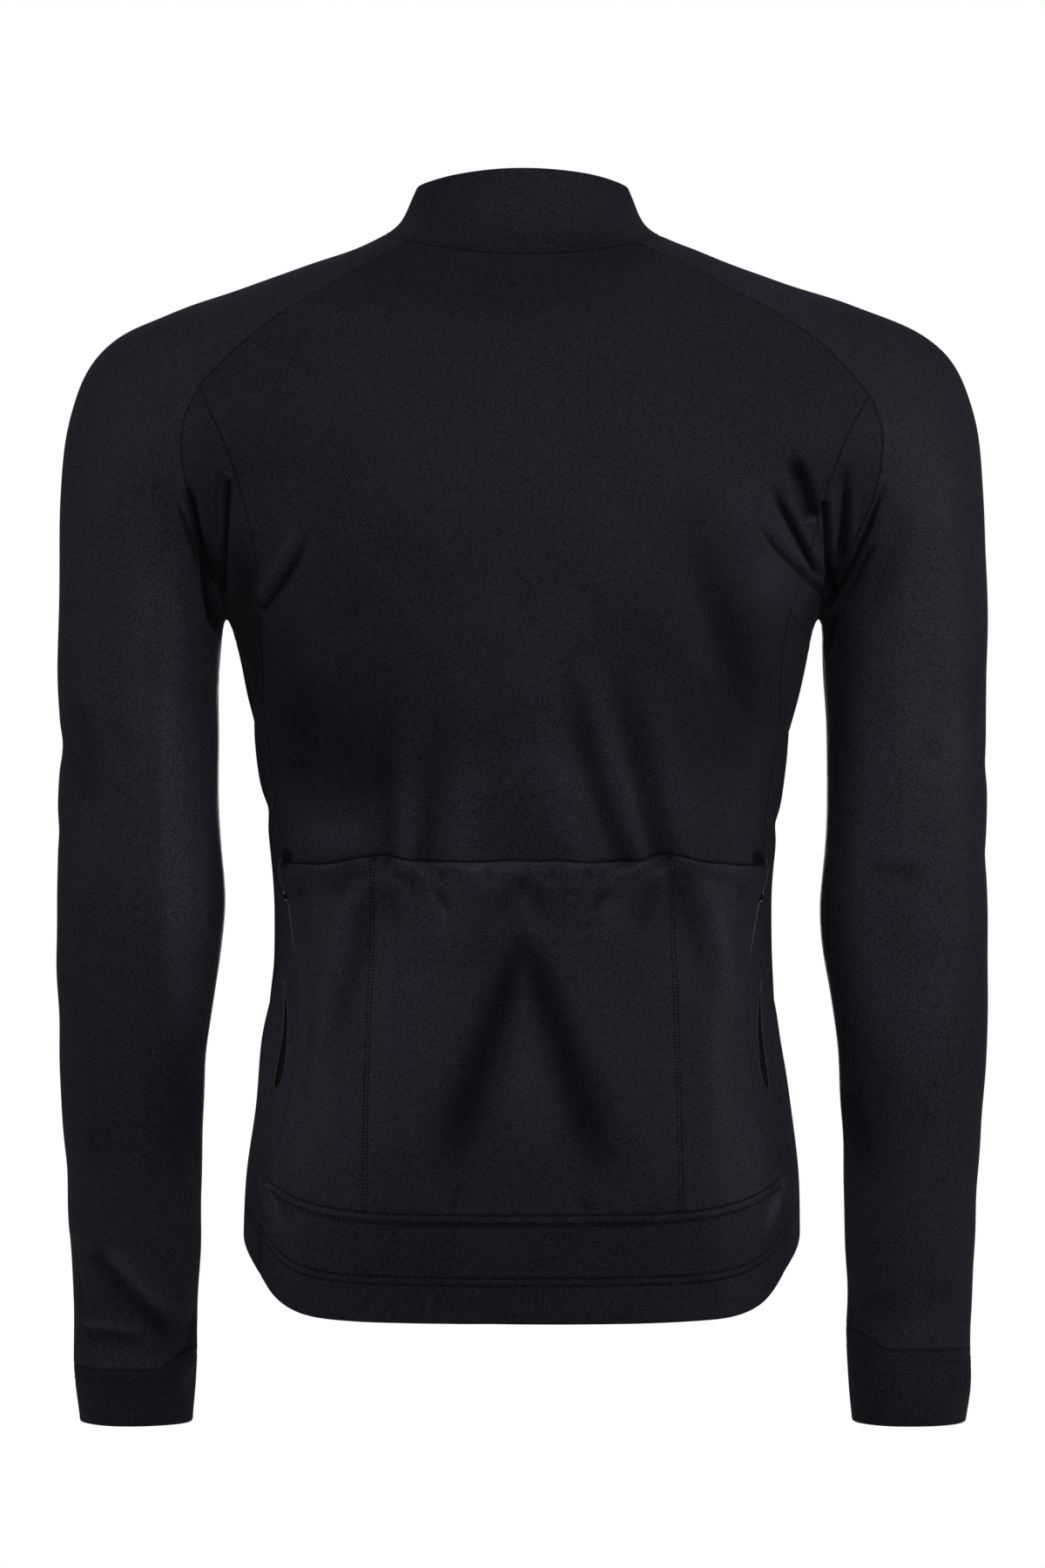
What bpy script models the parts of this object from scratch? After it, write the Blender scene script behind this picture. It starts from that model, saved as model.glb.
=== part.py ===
"""Long-sleeved cycling jersey, hollow and filled out as when it is worn.

The front faces -Y, the wearer's left is +X and +Z is up. The origin is the middle of the
neck hole, level with the sides of the neck. All sizes are in metres.

The cloth lies on one smooth form, given by ovals whose sizes change with height: one wide
oval across both shoulders at the top, and a body oval with two sleeve ovals below the
armpits. Each panel is a grid of points on that form between its seams, moved out by the
folds, and then given the thickness of the cloth.
"""

import math

import bpy
import numpy as np
from mathutils import Matrix, Vector

COLLECTION = "cycling_jersey"

# --- Driving dimensions ----------------------------------------------------------------

CLOTH = 0.0014                  # thickness of the knit, one layer
SEAM_INSET = 0.0002             # each panel stops this far short of its seam line
NECK_SEAM_INSET = 0.0004
ARMHOLE_INSET = 0.0005          # of the gusset, in the tight valley under the arm
SLOPE_STEP = 0.0001             # step for the slope of the form

SLEEVE_POWER = 2.1              # a little squarer than an ellipse
SHOULDER_BLEND = (-0.105, -0.213)   # the wide oval turns into body and sleeve ovals
CROTCH_ROUNDING = 0.008         # where sleeve and body meet under the arm
SHOULDER_ROUNDING = 0.036       # and higher up
CROTCH_X = 0.179

NECK_SIDE_Z = 0.0005            # the collar seam, at the sides of the neck
NECK_BACK_DROP = 0.0193
NECK_FRONT_DROP = 0.0500
NECK_CURVE = 1.35
RAGLAN_BACK_AZIMUTH = math.radians(36.6)    # where the raglan seams leave the collar
RAGLAN_FRONT_AZIMUTH = math.radians(-50.0)
COLLAR_SIDE_TOP = 0.0300
COLLAR_BACK_TOP = 0.0338
COLLAR_FRONT_TOP = 0.0190
COLLAR_FRONT_CURVE = 1.5

CUFF_SEAM_Z = -0.6810
CUFF_END_Z = -0.7255
INNER_SEAM_TURN = 0.20          # radians behind the innermost line of the sleeve
INNER_SEAM_TURN_SPAN = (-0.2335, -0.3000)   # heights between which it turns so far

POCKET_GAP = 0.0004             # pocket layer above the back, at its sewn edges
POCKET_FULLNESS = 0.0020        # and how much more it stands off between them
POCKET_PARTITION_X = 0.0895     # stitched lines between the three pockets
POCKET_SWELL = 0.020            # distance from a stitched line to the full height
POCKET_SIDE_INSET = 0.0012      # from the side seams
POCKET_STATIONS = (3, 4)        # the stations of the back between which it lies

ZIP_HALF_WIDTH = 0.0034         # chain and tape that show between the two fronts
ZIP_CLEARANCE = 0.0003
ZIP_THICK = 0.0018
ZIP_PROUD = 0.0003
SIDE_ZIP_HALF_WIDTH = 0.0020
SIDE_ZIP_THICK = 0.0010

SLIDER_Z = 0.0075               # middle of the slider, near the top of the collar
SLIDER_SIZE = (0.0086, 0.0020, 0.0095)      # across, thick, along the chain
CHEEK_SIZE = (0.0010, 0.0026, 0.0040)       # the two ears that hold the pull tab
CHEEK_OFFSET = 0.0024
PIN_RADIUS = 0.0009
PIN_LENGTH = 0.0032
PULL_NECK = (0.0028, 0.0011, 0.0080)
PULL_GRIP = (0.0064, 0.0011, 0.0170)
PULL_LEAN = math.radians(3.5)   # the tab leans in to the cloth

FINE = 121                      # places along a row before it is spread evenly
TIP = 0.12                      # the gusset stops this share of a step short of its tips
SIDE_ZIP_ROWS = 8
SIDE_ZIP_SHAPE = ((0.0, 0.15, 0.75, 1.0), (0.35, 0.6, 1.0, 0.6))   # along it, share of width
ARM_MIDDLE = (0.5, 0.35, 0.5)   # ray origin: share out at the armpit, how much it drops, by
SLEEVE_FIRST_STEP = 0.020       # from the armpit ring to the next one
SHARP_ANGLE = math.radians(75)

# Rows of points along each stretch of seam, and columns across each panel.
RAGLAN_ROWS = 9
GUSSET_ROWS = 7
CROSS_ROWS = 7
WAIST_ROWS = 6
POCKET_ROWS = 13
HEM_ROWS = 3
BACK_COLUMNS = 27
FRONT_COLUMNS = 8
GUSSET_COLUMNS = 4
SLEEVE_COLUMNS_ROUND = 19
SLEEVE_TUBE_ROWS = 15
CUFF_ROWS = 3
COLLAR_ROWS = 4
COLLAR_COLUMNS = 41
ZIP_ROWS = 34

# Half width of the outline across both sleeves, from the collar to the armpits.
OUTLINE_COLUMNS = ("z", "half_width")
OUTLINE_ROWS = (
    (0.0400, 0.0590),
    (0.0232, 0.0666),
    (0.0147, 0.0700),
    (0.0063, 0.0753),
    (0.0021, 0.0805),
    (-0.0021, 0.0887),
    (-0.0105, 0.1100),
    (-0.0253, 0.1508),
    (-0.0358, 0.1797),
    (-0.0463, 0.2103),
    (-0.0568, 0.2361),
    (-0.0674, 0.2511),
    (-0.0779, 0.2597),
    (-0.0989, 0.2692),
    (-0.1200, 0.2747),
    (-0.1411, 0.2779),
    (-0.1750, 0.2797),
    (-0.2350, 0.2798),
)

# How far the collar, upper back and chest stand behind and before the neck's middle.
DEPTH_COLUMNS = ("z", "back", "front", "power")
DEPTH_ROWS = (
    (0.0400, 0.0580, 0.0600, 2.0),
    (0.0147, 0.0605, 0.0625, 2.0),
    (0.0000, 0.0635, 0.0655, 2.0),
    (-0.0180, 0.0690, 0.0700, 1.95),
    (-0.0300, 0.0750, 0.0730, 1.9),
    (-0.0500, 0.0860, 0.0800, 1.9),
    (-0.0800, 0.0985, 0.0930, 1.95),
    (-0.1100, 0.1080, 0.1060, 2.0),
    (-0.1400, 0.1145, 0.1145, 2.0),
    (-0.1750, 0.1190, 0.1205, 2.0),
    (-0.2350, 0.1190, 0.1220, 2.0),
)

# The body below the shoulders.
BODY_COLUMNS = ("z", "half_width", "back", "front", "power")
BODY_ROWS = (
    (-0.0900, 0.2180, 0.1020, 0.0980, 2.1),
    (-0.1300, 0.2080, 0.1125, 0.1120, 2.2),
    (-0.1700, 0.1950, 0.1185, 0.1200, 2.3),
    (-0.2050, 0.1840, 0.1195, 0.1225, 2.35),
    (-0.2350, 0.1760, 0.1180, 0.1220, 2.4),
    (-0.2570, 0.1708, 0.1150, 0.1200, 2.4),
    (-0.2885, 0.1640, 0.1095, 0.1165, 2.4),
    (-0.3250, 0.1586, 0.1020, 0.1120, 2.4),
    (-0.3650, 0.1534, 0.0945, 0.1075, 2.4),
    (-0.4150, 0.1503, 0.0900, 0.1050, 2.4),
    (-0.4550, 0.1530, 0.0935, 0.1045, 2.4),
    (-0.5000, 0.1585, 0.1020, 0.1050, 2.4),
    (-0.5450, 0.1638, 0.1095, 0.1050, 2.4),
    (-0.5850, 0.1668, 0.1125, 0.1040, 2.4),
    (-0.6200, 0.1672, 0.1115, 0.1020, 2.4),
    (-0.6700, 0.1650, 0.1080, 0.0990, 2.4),
)

# One sleeve: its inner and outer edge across, its middle and half depth along Y.
SLEEVE_COLUMNS = ("z", "inner", "outer", "middle", "half_depth")
SLEEVE_ROWS = (
    (-0.0900, 0.2060, 0.2660, 0.0000, 0.0600),
    (-0.1300, 0.1980, 0.2765, 0.0000, 0.0600),
    (-0.1750, 0.1890, 0.2797, 0.0015, 0.0585),
    (-0.2149, 0.1815, 0.2797, 0.0030, 0.0560),
    (-0.2570, 0.1817, 0.2797, 0.0060, 0.0540),
    (-0.2885, 0.1832, 0.2791, 0.0075, 0.0525),
    (-0.3200, 0.1836, 0.2788, 0.0088, 0.0515),
    (-0.3515, 0.1826, 0.2788, 0.0090, 0.0510),
    (-0.3830, 0.1803, 0.2796, 0.0080, 0.0505),
    (-0.4068, 0.1795, 0.2807, 0.0050, 0.0500),
    (-0.4304, 0.1820, 0.2812, 0.0015, 0.0490),
    (-0.4623, 0.1874, 0.2816, -0.0055, 0.0465),
    (-0.5106, 0.1930, 0.2805, -0.0170, 0.0430),
    (-0.5757, 0.1967, 0.2783, -0.0330, 0.0385),
    (-0.6416, 0.1994, 0.2771, -0.0500, 0.0335),
    (-0.6749, 0.2012, 0.2770, -0.0590, 0.0310),
    (-0.7083, 0.2030, 0.2766, -0.0670, 0.0290),
    (-0.7255, 0.2042, 0.2748, -0.0710, 0.0285),
    (-0.7600, 0.2060, 0.2730, -0.0790, 0.0280),
)

# Seams, as places across and up. The two sides of the back differ a little.
SEAM_COLUMNS = ("left_x", "left_z", "right_x", "right_z")
RAGLAN_BACK = (
    (0.0931, -0.0226, 0.0953, -0.0212),
    (0.1176, -0.0373, 0.1249, -0.0369),
    (0.1468, -0.0568, 0.1527, -0.0538),
    (0.1692, -0.0751, 0.1760, -0.0710),
    (0.1901, -0.0962, 0.2042, -0.1014),
)
SIDE_BACK = (
    (0.1901, -0.0962, 0.2042, -0.1014),
    (0.1781, -0.1236, 0.1930, -0.1215),
    (0.1693, -0.1452, 0.1819, -0.1468),
    (0.1620, -0.1700, 0.1745, -0.1735),
    (0.1567, -0.1976, 0.1680, -0.1990),
    (0.1551, -0.2285, 0.1585, -0.2285),
)
ARMHOLE_BACK = (
    (0.1901, -0.0962, 0.2042, -0.1014),
    (0.1997, -0.1178, 0.2118, -0.1200),
    (0.2003, -0.1397, 0.2115, -0.1400),
    (0.1971, -0.1577, 0.2070, -0.1620),
    (0.1924, -0.1780, 0.1988, -0.1830),
    (0.1880, -0.1982, 0.1930, -0.2000),
    (0.1835, -0.2110, 0.1865, -0.2150),
)
RAGLAN_FRONT = (
    (0.0860, -0.0465, 0.0860, -0.0465),
    (0.1130, -0.0600, 0.1130, -0.0600),
    (0.1410, -0.0755, 0.1410, -0.0755),
    (0.1660, -0.0915, 0.1660, -0.0915),
    (0.1870, -0.1080, 0.1870, -0.1080),
)
SIDE_FRONT = (
    (0.1870, -0.1080, 0.1870, -0.1080),
    (0.1760, -0.1320, 0.1760, -0.1320),
    (0.1680, -0.1550, 0.1680, -0.1550),
    (0.1620, -0.1800, 0.1620, -0.1800),
    (0.1580, -0.2050, 0.1580, -0.2050),
    (0.1560, -0.2285, 0.1560, -0.2285),
)
ARMHOLE_FRONT = (
    (0.1870, -0.1080, 0.1870, -0.1080),
    (0.1950, -0.1220, 0.1950, -0.1220),
    (0.1975, -0.1400, 0.1975, -0.1400),
    (0.1955, -0.1600, 0.1955, -0.1600),
    (0.1915, -0.1800, 0.1915, -0.1800),
    (0.1870, -0.1980, 0.1870, -0.1980),
    (0.1832, -0.2110, 0.1832, -0.2110),
)
CROSS_COLUMNS = ("y", "z")      # the seam under the arm, from back to front
CROSS_SEAM = (
    (0.0561, -0.2347),
    (0.0364, -0.2397),
    (0.0000, -0.2455),
    (-0.0364, -0.2397),
    (-0.0561, -0.2347),
)

# The same seams on down to the hem, both sides alike.
LOW_SEAM_COLUMNS = ("x", "z")
WAIST_BACK = (
    (0.1540, -0.2549),
    (0.1536, -0.2809),
    (0.1510, -0.3072),
    (0.1478, -0.3300),
    (0.1448, -0.3500),
    (0.1425, -0.3783),
)
POCKET_BACK = (
    (0.1425, -0.3783),
    (0.1412, -0.3929),
    (0.1392, -0.4057),
    (0.1364, -0.4211),
    (0.1335, -0.4440),
    (0.1335, -0.4800),
    (0.1375, -0.5150),
    (0.1445, -0.5463),
    (0.1515, -0.5690),
)
HEM_BACK = (
    (0.1515, -0.5690),
    (0.1545, -0.5950),
    (0.1550, -0.6205),
)
WAIST_FRONT = (
    (0.1545, -0.2549),
    (0.1500, -0.2850),
    (0.1462, -0.3150),
    (0.1425, -0.3450),
    (0.1405, -0.3783),
)
POCKET_FRONT = (
    (0.1405, -0.3783),
    (0.1385, -0.4150),
    (0.1410, -0.4550),
    (0.1460, -0.5000),
    (0.1505, -0.5400),
    (0.1525, -0.5650),
)
HEM_FRONT = (
    (0.1525, -0.5650),
    (0.1535, -0.5800),
    (0.1540, -0.5950),
)

# Heights of a panel's rows at its middle, and how flat they stay before they turn to the
# side seam, at the neck, the raglan's end, the armpit, pocket top, pocket bottom and hem.
STATION_COLUMNS = ("middle", "flatness")
BACK_STATIONS = (
    (-0.0188, 2.0),
    (-0.1030, 2.0),
    (-0.2285, 2.0),
    (-0.3755, 2.0),
    (-0.5840, 6.5),
    (-0.6437, 12.0),
)
FRONT_STATIONS = (
    (-0.0495, 2.0),
    (-0.1270, 2.0),
    (-0.2285, 2.0),
    (-0.3783, 2.0),
    (-0.5690, 2.0),
    (-0.6000, 2.0),
)
STATION_ROWS = (RAGLAN_ROWS, GUSSET_ROWS, WAIST_ROWS, POCKET_ROWS, HEM_ROWS)

# Zip slits beside the pockets.
SIDE_ZIP = (
    (0.1406, -0.4522),
    (0.1403, -0.4649),
    (0.1398, -0.4801),
    (0.1412, -0.4955),
    (0.1433, -0.5108),
)


# The largest folds. Each runs from a start over a middle to an end place, on the back
# (facing 1) or the front (facing -1), and is that high, or deep where it is below nought.
FOLD_COLUMNS = ("facing", "start_x", "start_z", "middle_x", "middle_z", "end_x", "end_z",
                "half_width", "height")
FOLDS = (
    (1, 0.0018, -0.4130, 0.0290, -0.4950, 0.0570, -0.5760, 0.0095, -0.0028),
    (1, 0.0000, -0.4130, -0.0250, -0.4950, -0.0540, -0.5760, 0.0095, -0.0028),
    (1, 0.0010, -0.4450, 0.0005, -0.5150, 0.0000, -0.5760, 0.0150, 0.0016),
    (1, -0.0256, -0.2600, -0.0370, -0.3200, -0.0590, -0.3720, 0.0080, 0.0016),
    (1, -0.0450, -0.2600, -0.0560, -0.3200, -0.0700, -0.3720, 0.0080, -0.0016),
    (1, -0.1062, -0.2169, -0.1240, -0.2800, -0.1290, -0.3335, 0.0160, -0.0022),
    (1, 0.0800, -0.2500, 0.0860, -0.3100, 0.0780, -0.3720, 0.0140, -0.0018),
    (1, 0.1240, -0.1790, 0.1330, -0.2000, 0.1540, -0.2300, 0.0080, 0.0022),
    (1, 0.1700, -0.1540, 0.1760, -0.1800, 0.1720, -0.2180, 0.0080, -0.0028),
    (1, 0.2060, -0.1540, 0.1960, -0.1950, 0.1790, -0.2480, 0.0080, -0.0026),
    (1, -0.1570, -0.1367, -0.1700, -0.1680, -0.1828, -0.2147, 0.0080, -0.0028),
    (1, -0.1400, -0.1620, -0.1560, -0.1950, -0.1775, -0.2180, 0.0080, -0.0022),
    (1, -0.1490, -0.1480, -0.1640, -0.1850, -0.1800, -0.2160, 0.0070, 0.0020),
    (1, -0.2190, -0.1410, -0.2020, -0.1850, -0.1850, -0.2190, 0.0090, -0.0026),
    (1, -0.1950, -0.3800, -0.2200, -0.3790, -0.2540, -0.3760, 0.0090, -0.0022),
    (1, 0.2660, -0.2800, 0.2600, -0.3050, 0.2500, -0.3280, 0.0090, 0.0018),
    (1, 0.2480, -0.2900, 0.2400, -0.3100, 0.2320, -0.3230, 0.0080, -0.0016),
    (1, 0.2640, -0.3700, 0.2300, -0.3780, 0.1980, -0.3900, 0.0100, -0.0020),
    (1, 0.2640, -0.6180, 0.2400, -0.6450, 0.2090, -0.6680, 0.0080, -0.0024),
    (1, 0.2700, -0.6540, 0.2500, -0.6640, 0.2260, -0.6680, 0.0070, 0.0022),
    (-1, 0.1250, -0.1650, 0.1440, -0.1950, 0.1760, -0.2200, 0.0090, -0.0024),
    (-1, 0.1400, -0.1500, 0.1620, -0.1800, 0.1800, -0.2080, 0.0080, 0.0020),
    (-1, 0.2150, -0.1500, 0.2030, -0.1900, 0.1860, -0.2250, 0.0090, -0.0024),
    (-1, -0.1290, -0.1620, -0.1480, -0.1900, -0.1760, -0.2220, 0.0090, -0.0024),
    (-1, -0.2180, -0.1450, -0.2040, -0.1850, -0.1870, -0.2230, 0.0090, -0.0026),
    (-1, 0.1960, -0.3700, 0.2200, -0.3860, 0.2500, -0.3950, 0.0090, -0.0022),
    (-1, -0.1940, -0.3800, -0.2180, -0.3960, -0.2480, -0.4020, 0.0090, -0.0022),
    (-1, 0.1960, -0.4180, 0.2180, -0.4150, 0.2420, -0.4230, 0.0090, -0.0018),
    (-1, 0.0900, -0.2550, 0.0850, -0.3150, 0.0720, -0.3850, 0.0140, -0.0018),
    (-1, -0.0780, -0.2700, -0.0820, -0.3300, -0.0700, -0.4000, 0.0140, -0.0018),
)
FOLD_STEPS = 24                 # places along a fold at which its distance is measured
FOLD_FADE = 0.25                # share of its length over which each end fades out
FACING_FADE = (0.05, 0.35)      # a fold fades out where its side turns away


# --- The form --------------------------------------------------------------------------

class Profile:
    """Named columns against a first one, read between the rows by a natural cubic spline."""

    def __init__(self, columns, rows):
        table = np.array(sorted(tuple(row) for row in rows))
        self.at = table[:, 0]
        self.values = dict(zip(columns[1:], table[:, 1:].T))
        self.bends = {name: self.bend(values) for name, values in self.values.items()}

    def bend(self, values):
        """Second derivatives at the rows, nought at both ends."""
        step = np.diff(self.at)
        slope = np.diff(values) / step
        system = np.eye(len(values))
        right = np.zeros(len(values))
        for row in range(1, len(values) - 1):
            system[row, row - 1] = step[row - 1]
            system[row, row] = 2 * (step[row - 1] + step[row])
            system[row, row + 1] = step[row]
            right[row] = 6 * (slope[row] - slope[row - 1])
        return np.linalg.solve(system, right)

    def read(self, name, at):
        """The column's value at each place, held level beyond the first and last rows."""
        at = np.clip(at, self.at[0], self.at[-1])
        low = np.clip(np.searchsorted(self.at, at) - 1, 0, len(self.at) - 2)
        step = self.at[low + 1] - self.at[low]
        up = (at - self.at[low]) / step
        down = 1 - up
        values = self.values[name]
        bends = self.bends[name]
        line = down * values[low] + up * values[low + 1]
        bow = (down ** 3 - down) * bends[low] + (up ** 3 - up) * bends[low + 1]
        return line + bow * step ** 2 / 6


OUTLINE = Profile(OUTLINE_COLUMNS, OUTLINE_ROWS)
DEPTH = Profile(DEPTH_COLUMNS, DEPTH_ROWS)
BODY = Profile(BODY_COLUMNS, BODY_ROWS)
SLEEVE = Profile(SLEEVE_COLUMNS, SLEEVE_ROWS)


def ramp(value, start, end):
    """0 at start, 1 at end, with a smooth slope between."""
    t = np.clip((value - start) / (end - start), 0, 1)
    return t * t * (3 - 2 * t)


def oval(across, along, half_across, half_along, power):
    """Distance outside the oval |x/a|^p + |y/b|^p = 1, true to first order near it."""
    u = np.abs(across) / half_across + 1e-9
    v = np.abs(along) / half_along + 1e-9
    radius = (u ** power + v ** power) ** (1 / power)
    slope = np.hypot(u ** (power - 1) / half_across, v ** (power - 1) / half_along)
    return (radius - 1) / (slope * radius ** (1 - power))


def sleeve_form(points):
    """The same measure for one sleeve alone, both sides alike."""
    x, y, z = np.abs(points[..., 0]), points[..., 1], points[..., 2]
    inner = SLEEVE.read("inner", z)
    outer = SLEEVE.read("outer", z)
    return oval(x - (inner + outer) / 2, y - SLEEVE.read("middle", z), (outer - inner) / 2,
                SLEEVE.read("half_depth", z), SLEEVE_POWER)


def form(points):
    """Below nought inside the filled-out jersey and above nought outside it."""
    x, y, z = np.abs(points[..., 0]), points[..., 1], points[..., 2]
    back = DEPTH.read("back", z)
    front = DEPTH.read("front", z)
    shoulders = oval(x, y - (back - front) / 2, OUTLINE.read("half_width", z),
                     (back + front) / 2, DEPTH.read("power", z))
    back = BODY.read("back", z)
    front = BODY.read("front", z)
    body = oval(x, y - (back - front) / 2, BODY.read("half_width", z), (back + front) / 2,
                BODY.read("power", z))
    sleeve = sleeve_form(points)
    parted = ramp(z, *SHOULDER_BLEND)
    rounding = SHOULDER_ROUNDING + (CROTCH_ROUNDING - SHOULDER_ROUNDING) * parted
    near = np.maximum(rounding - np.abs(body - sleeve), 0) / rounding
    low = np.minimum(body, sleeve) - near ** 2 * rounding / 4
    return (1 - parted) * shoulders + parted * low


def slopes_of_form(points):
    """How the form changes along X, Y and Z at each point."""
    slopes = np.empty_like(points)
    for axis in range(3):
        shift = np.zeros(3)
        shift[axis] = SLOPE_STEP
        slopes[..., axis] = (form(points + shift) - form(points - shift)) / (2 * SLOPE_STEP)
    return slopes


def outward(points):
    """The direction straight out of the form at each point, of length one."""
    slopes = slopes_of_form(points)
    return slopes / np.linalg.norm(slopes, axis=-1, keepdims=True)


def settle(points):
    """Points moved on to the form, in a few Newton steps along its own slope."""
    for _ in range(6):
        slopes = slopes_of_form(points)
        steepness = np.sum(slopes ** 2, axis=-1, keepdims=True)
        points = points - form(points)[..., None] * slopes / steepness
    return points


def cast(origins, directions, reach, solid=form):
    """Where rays from inside first leave the solid: a coarse march, then halving."""
    origins, directions = np.broadcast_arrays(origins, directions)
    low = np.zeros(origins.shape[:-1])
    high = np.full(origins.shape[:-1], reach)
    found = np.zeros(origins.shape[:-1], bool)
    for distance in np.linspace(0, reach, 61)[1:]:
        outside = solid(origins + directions * distance) > 0
        high[outside & ~found] = distance
        found |= outside
        low[~found] = distance
    for _ in range(22):
        middle = (low + high) / 2
        outside = solid(origins + directions * middle[..., None]) > 0
        high = np.where(outside, middle, high)
        low = np.where(outside, low, middle)
    return origins + directions * ((low + high) / 2)[..., None]


def on_face(x, z, facing):
    """The point of the form behind (facing 1) or before (facing -1) the place x, z."""
    x, z = np.broadcast_arrays(np.asarray(x, float), np.asarray(z, float))
    origins = np.stack([x, np.zeros_like(x), z], axis=-1)
    return cast(origins, np.array([0.0, facing, 0.0]), 0.15)


def on_side(y, z):
    """The point of the body's left side at this depth and height."""
    y, z = np.broadcast_arrays(np.asarray(y, float), np.asarray(z, float))
    origins = np.stack([np.zeros_like(y), y, z], axis=-1)
    return cast(origins, np.array([1.0, 0.0, 0.0]), 0.21)


def on_azimuth(azimuth, z):
    """The point of the form at this height, in this direction from the upright axis."""
    azimuth, z = np.broadcast_arrays(np.asarray(azimuth, float), np.asarray(z, float))
    origins = np.stack([np.zeros_like(z), np.zeros_like(z), z], axis=-1)
    directions = np.stack([np.cos(azimuth), np.sin(azimuth), np.zeros_like(z)], axis=-1)
    return cast(origins, directions, 0.21)


# --- Curves ----------------------------------------------------------------------------

def lengths(curve):
    """How far along the curve each of its points is."""
    steps = np.linalg.norm(np.diff(curve, axis=0), axis=1)
    return np.concatenate([[0], np.cumsum(steps)])


def spread(points, count):
    """The same curve, or rows of curves, with points at equal steps along it."""
    if points.ndim == 3:
        return np.array([spread(row, count) for row in points])
    along = lengths(points)
    steps = np.linspace(0, along[-1], count)
    return np.stack([np.interp(steps, along, axis) for axis in points.T], axis=-1)


def spread_on_form(points, count):
    """Equal steps along the curve, settled on the form with both ends kept."""
    curve = spread(points, count)
    curve[..., 1:-1, :] = settle(curve[..., 1:-1, :])
    return curve


def curve_through(points, count):
    """A smooth curve through a few places on the form, at equal steps."""
    along = lengths(points)
    smooth = Profile(("along", "x", "y", "z"), np.column_stack([along, points]))
    steps = np.linspace(0, along[-1], FINE)
    fine = np.stack([smooth.read(axis, steps) for axis in "xyz"], axis=-1)
    return spread_on_form(fine, count)


def join(*curves):
    """Curves end to end, each starting where the last one stopped."""
    return np.concatenate([curves[0]] + [curve[1:] for curve in curves[1:]])


def neck_height(azimuth):
    """Height of the collar seam round the neck: lower behind, lowest in front."""
    depth = np.sin(azimuth)
    drop = np.where(depth > 0, NECK_BACK_DROP, NECK_FRONT_DROP)
    return NECK_SIDE_Z - drop * np.abs(depth) ** NECK_CURVE


def neck(azimuth):
    """Point of the collar seam in this direction from the neck's middle."""
    return on_azimuth(azimuth, neck_height(azimuth))


def places(rows, side):
    """The x and z columns of a seam table for one side."""
    table = np.array(rows)
    if table.shape[1] == len(LOW_SEAM_COLUMNS):
        return table.T
    first = SEAM_COLUMNS.index(side + "_x")
    return table[:, first], table[:, first + 1]


def seam(rows, side, facing, count, before=None, after=None):
    """A seam through a table's places, with a known point before or after them."""
    points = on_face(*places(rows, side), facing)
    if before is not None:
        points = np.vstack([before, points])
    if after is not None:
        points = np.vstack([points, after])
    return curve_through(points, count)


def seams(side):
    """Every seam of one side, drawn on the wearer's left, by name."""
    crotch = cast(np.array([CROTCH_X, 0, -0.215]), np.array([0.0, 0.0, -1.0]), 0.04)
    half_cross = (CROSS_ROWS - 1) // 2
    lines = {}
    for face, facing, azimuth, raglan, edge, armhole, waist, pocket, hem in (
            ("back", 1, RAGLAN_BACK_AZIMUTH, RAGLAN_BACK, SIDE_BACK, ARMHOLE_BACK,
             WAIST_BACK, POCKET_BACK, HEM_BACK),
            ("front", -1, RAGLAN_FRONT_AZIMUTH, RAGLAN_FRONT, SIDE_FRONT, ARMHOLE_FRONT,
             WAIST_FRONT, POCKET_FRONT, HEM_FRONT)):
        lines["raglan_" + face] = seam(raglan, side, facing, RAGLAN_ROWS, before=neck(azimuth))
        lines["edge_" + face] = seam(edge, side, facing, GUSSET_ROWS)
        lines["armhole_" + face] = seam(armhole, side, facing, GUSSET_ROWS + half_cross,
                                        after=crotch)
        corner = lines["edge_" + face][-1]
        upper = seam(waist, side, facing, WAIST_ROWS, before=corner)
        middle = seam(pocket, side, facing, POCKET_ROWS)
        lower = seam(hem, side, facing, HEM_ROWS)
        lines["low_" + face] = join(upper, middle, lower)
    y, z = np.array(CROSS_SEAM).T
    under = np.vstack([lines["edge_back"][-1], on_side(y, z), lines["edge_front"][-1]])
    lines["cross"] = curve_through(under, CROSS_ROWS)
    return lines


# --- Panels, as grids of points --------------------------------------------------------

def row_stations():
    """For each row of a body panel, how far it is along the list of stations."""
    steps = [np.linspace(index, index + 1, count) for index, count in enumerate(STATION_ROWS)]
    return np.concatenate([steps[0]] + [step[1:] for step in steps[1:]])


def body_side(lines, face):
    """The whole side edge of the back or of a front, from collar to hem."""
    return join(lines["raglan_" + face], lines["edge_" + face], lines["low_" + face])


def back_grid(left, right):
    """Rows across the back from the right side edge to the left one."""
    sides = body_side(left, "back"), body_side(right, "back")
    stations = row_stations()
    middle, flatness = (np.interp(stations, range(len(BACK_STATIONS)), column)
                        for column in np.array(BACK_STATIONS).T)
    across = np.sin(np.linspace(-1, 1, FINE) * math.pi / 2)
    edge = np.where(across[None, :] > 0, sides[0][:, 0:1], sides[1][:, 0:1])
    edge_z = np.where(across[None, :] > 0, sides[0][:, 2:], sides[1][:, 2:])
    bend = np.abs(across[None, :]) ** flatness[:, None]
    rows = on_face(across * edge, middle[:, None] + (edge_z - middle[:, None]) * bend, 1)
    turn = np.linspace(math.pi - RAGLAN_BACK_AZIMUTH, RAGLAN_BACK_AZIMUTH, FINE)
    rows[0] = neck(turn)
    rows[:, -1] = sides[0]
    rows[:, 0] = sides[1] * (-1, 1, 1)
    return spread_on_form(rows, BACK_COLUMNS)


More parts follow.
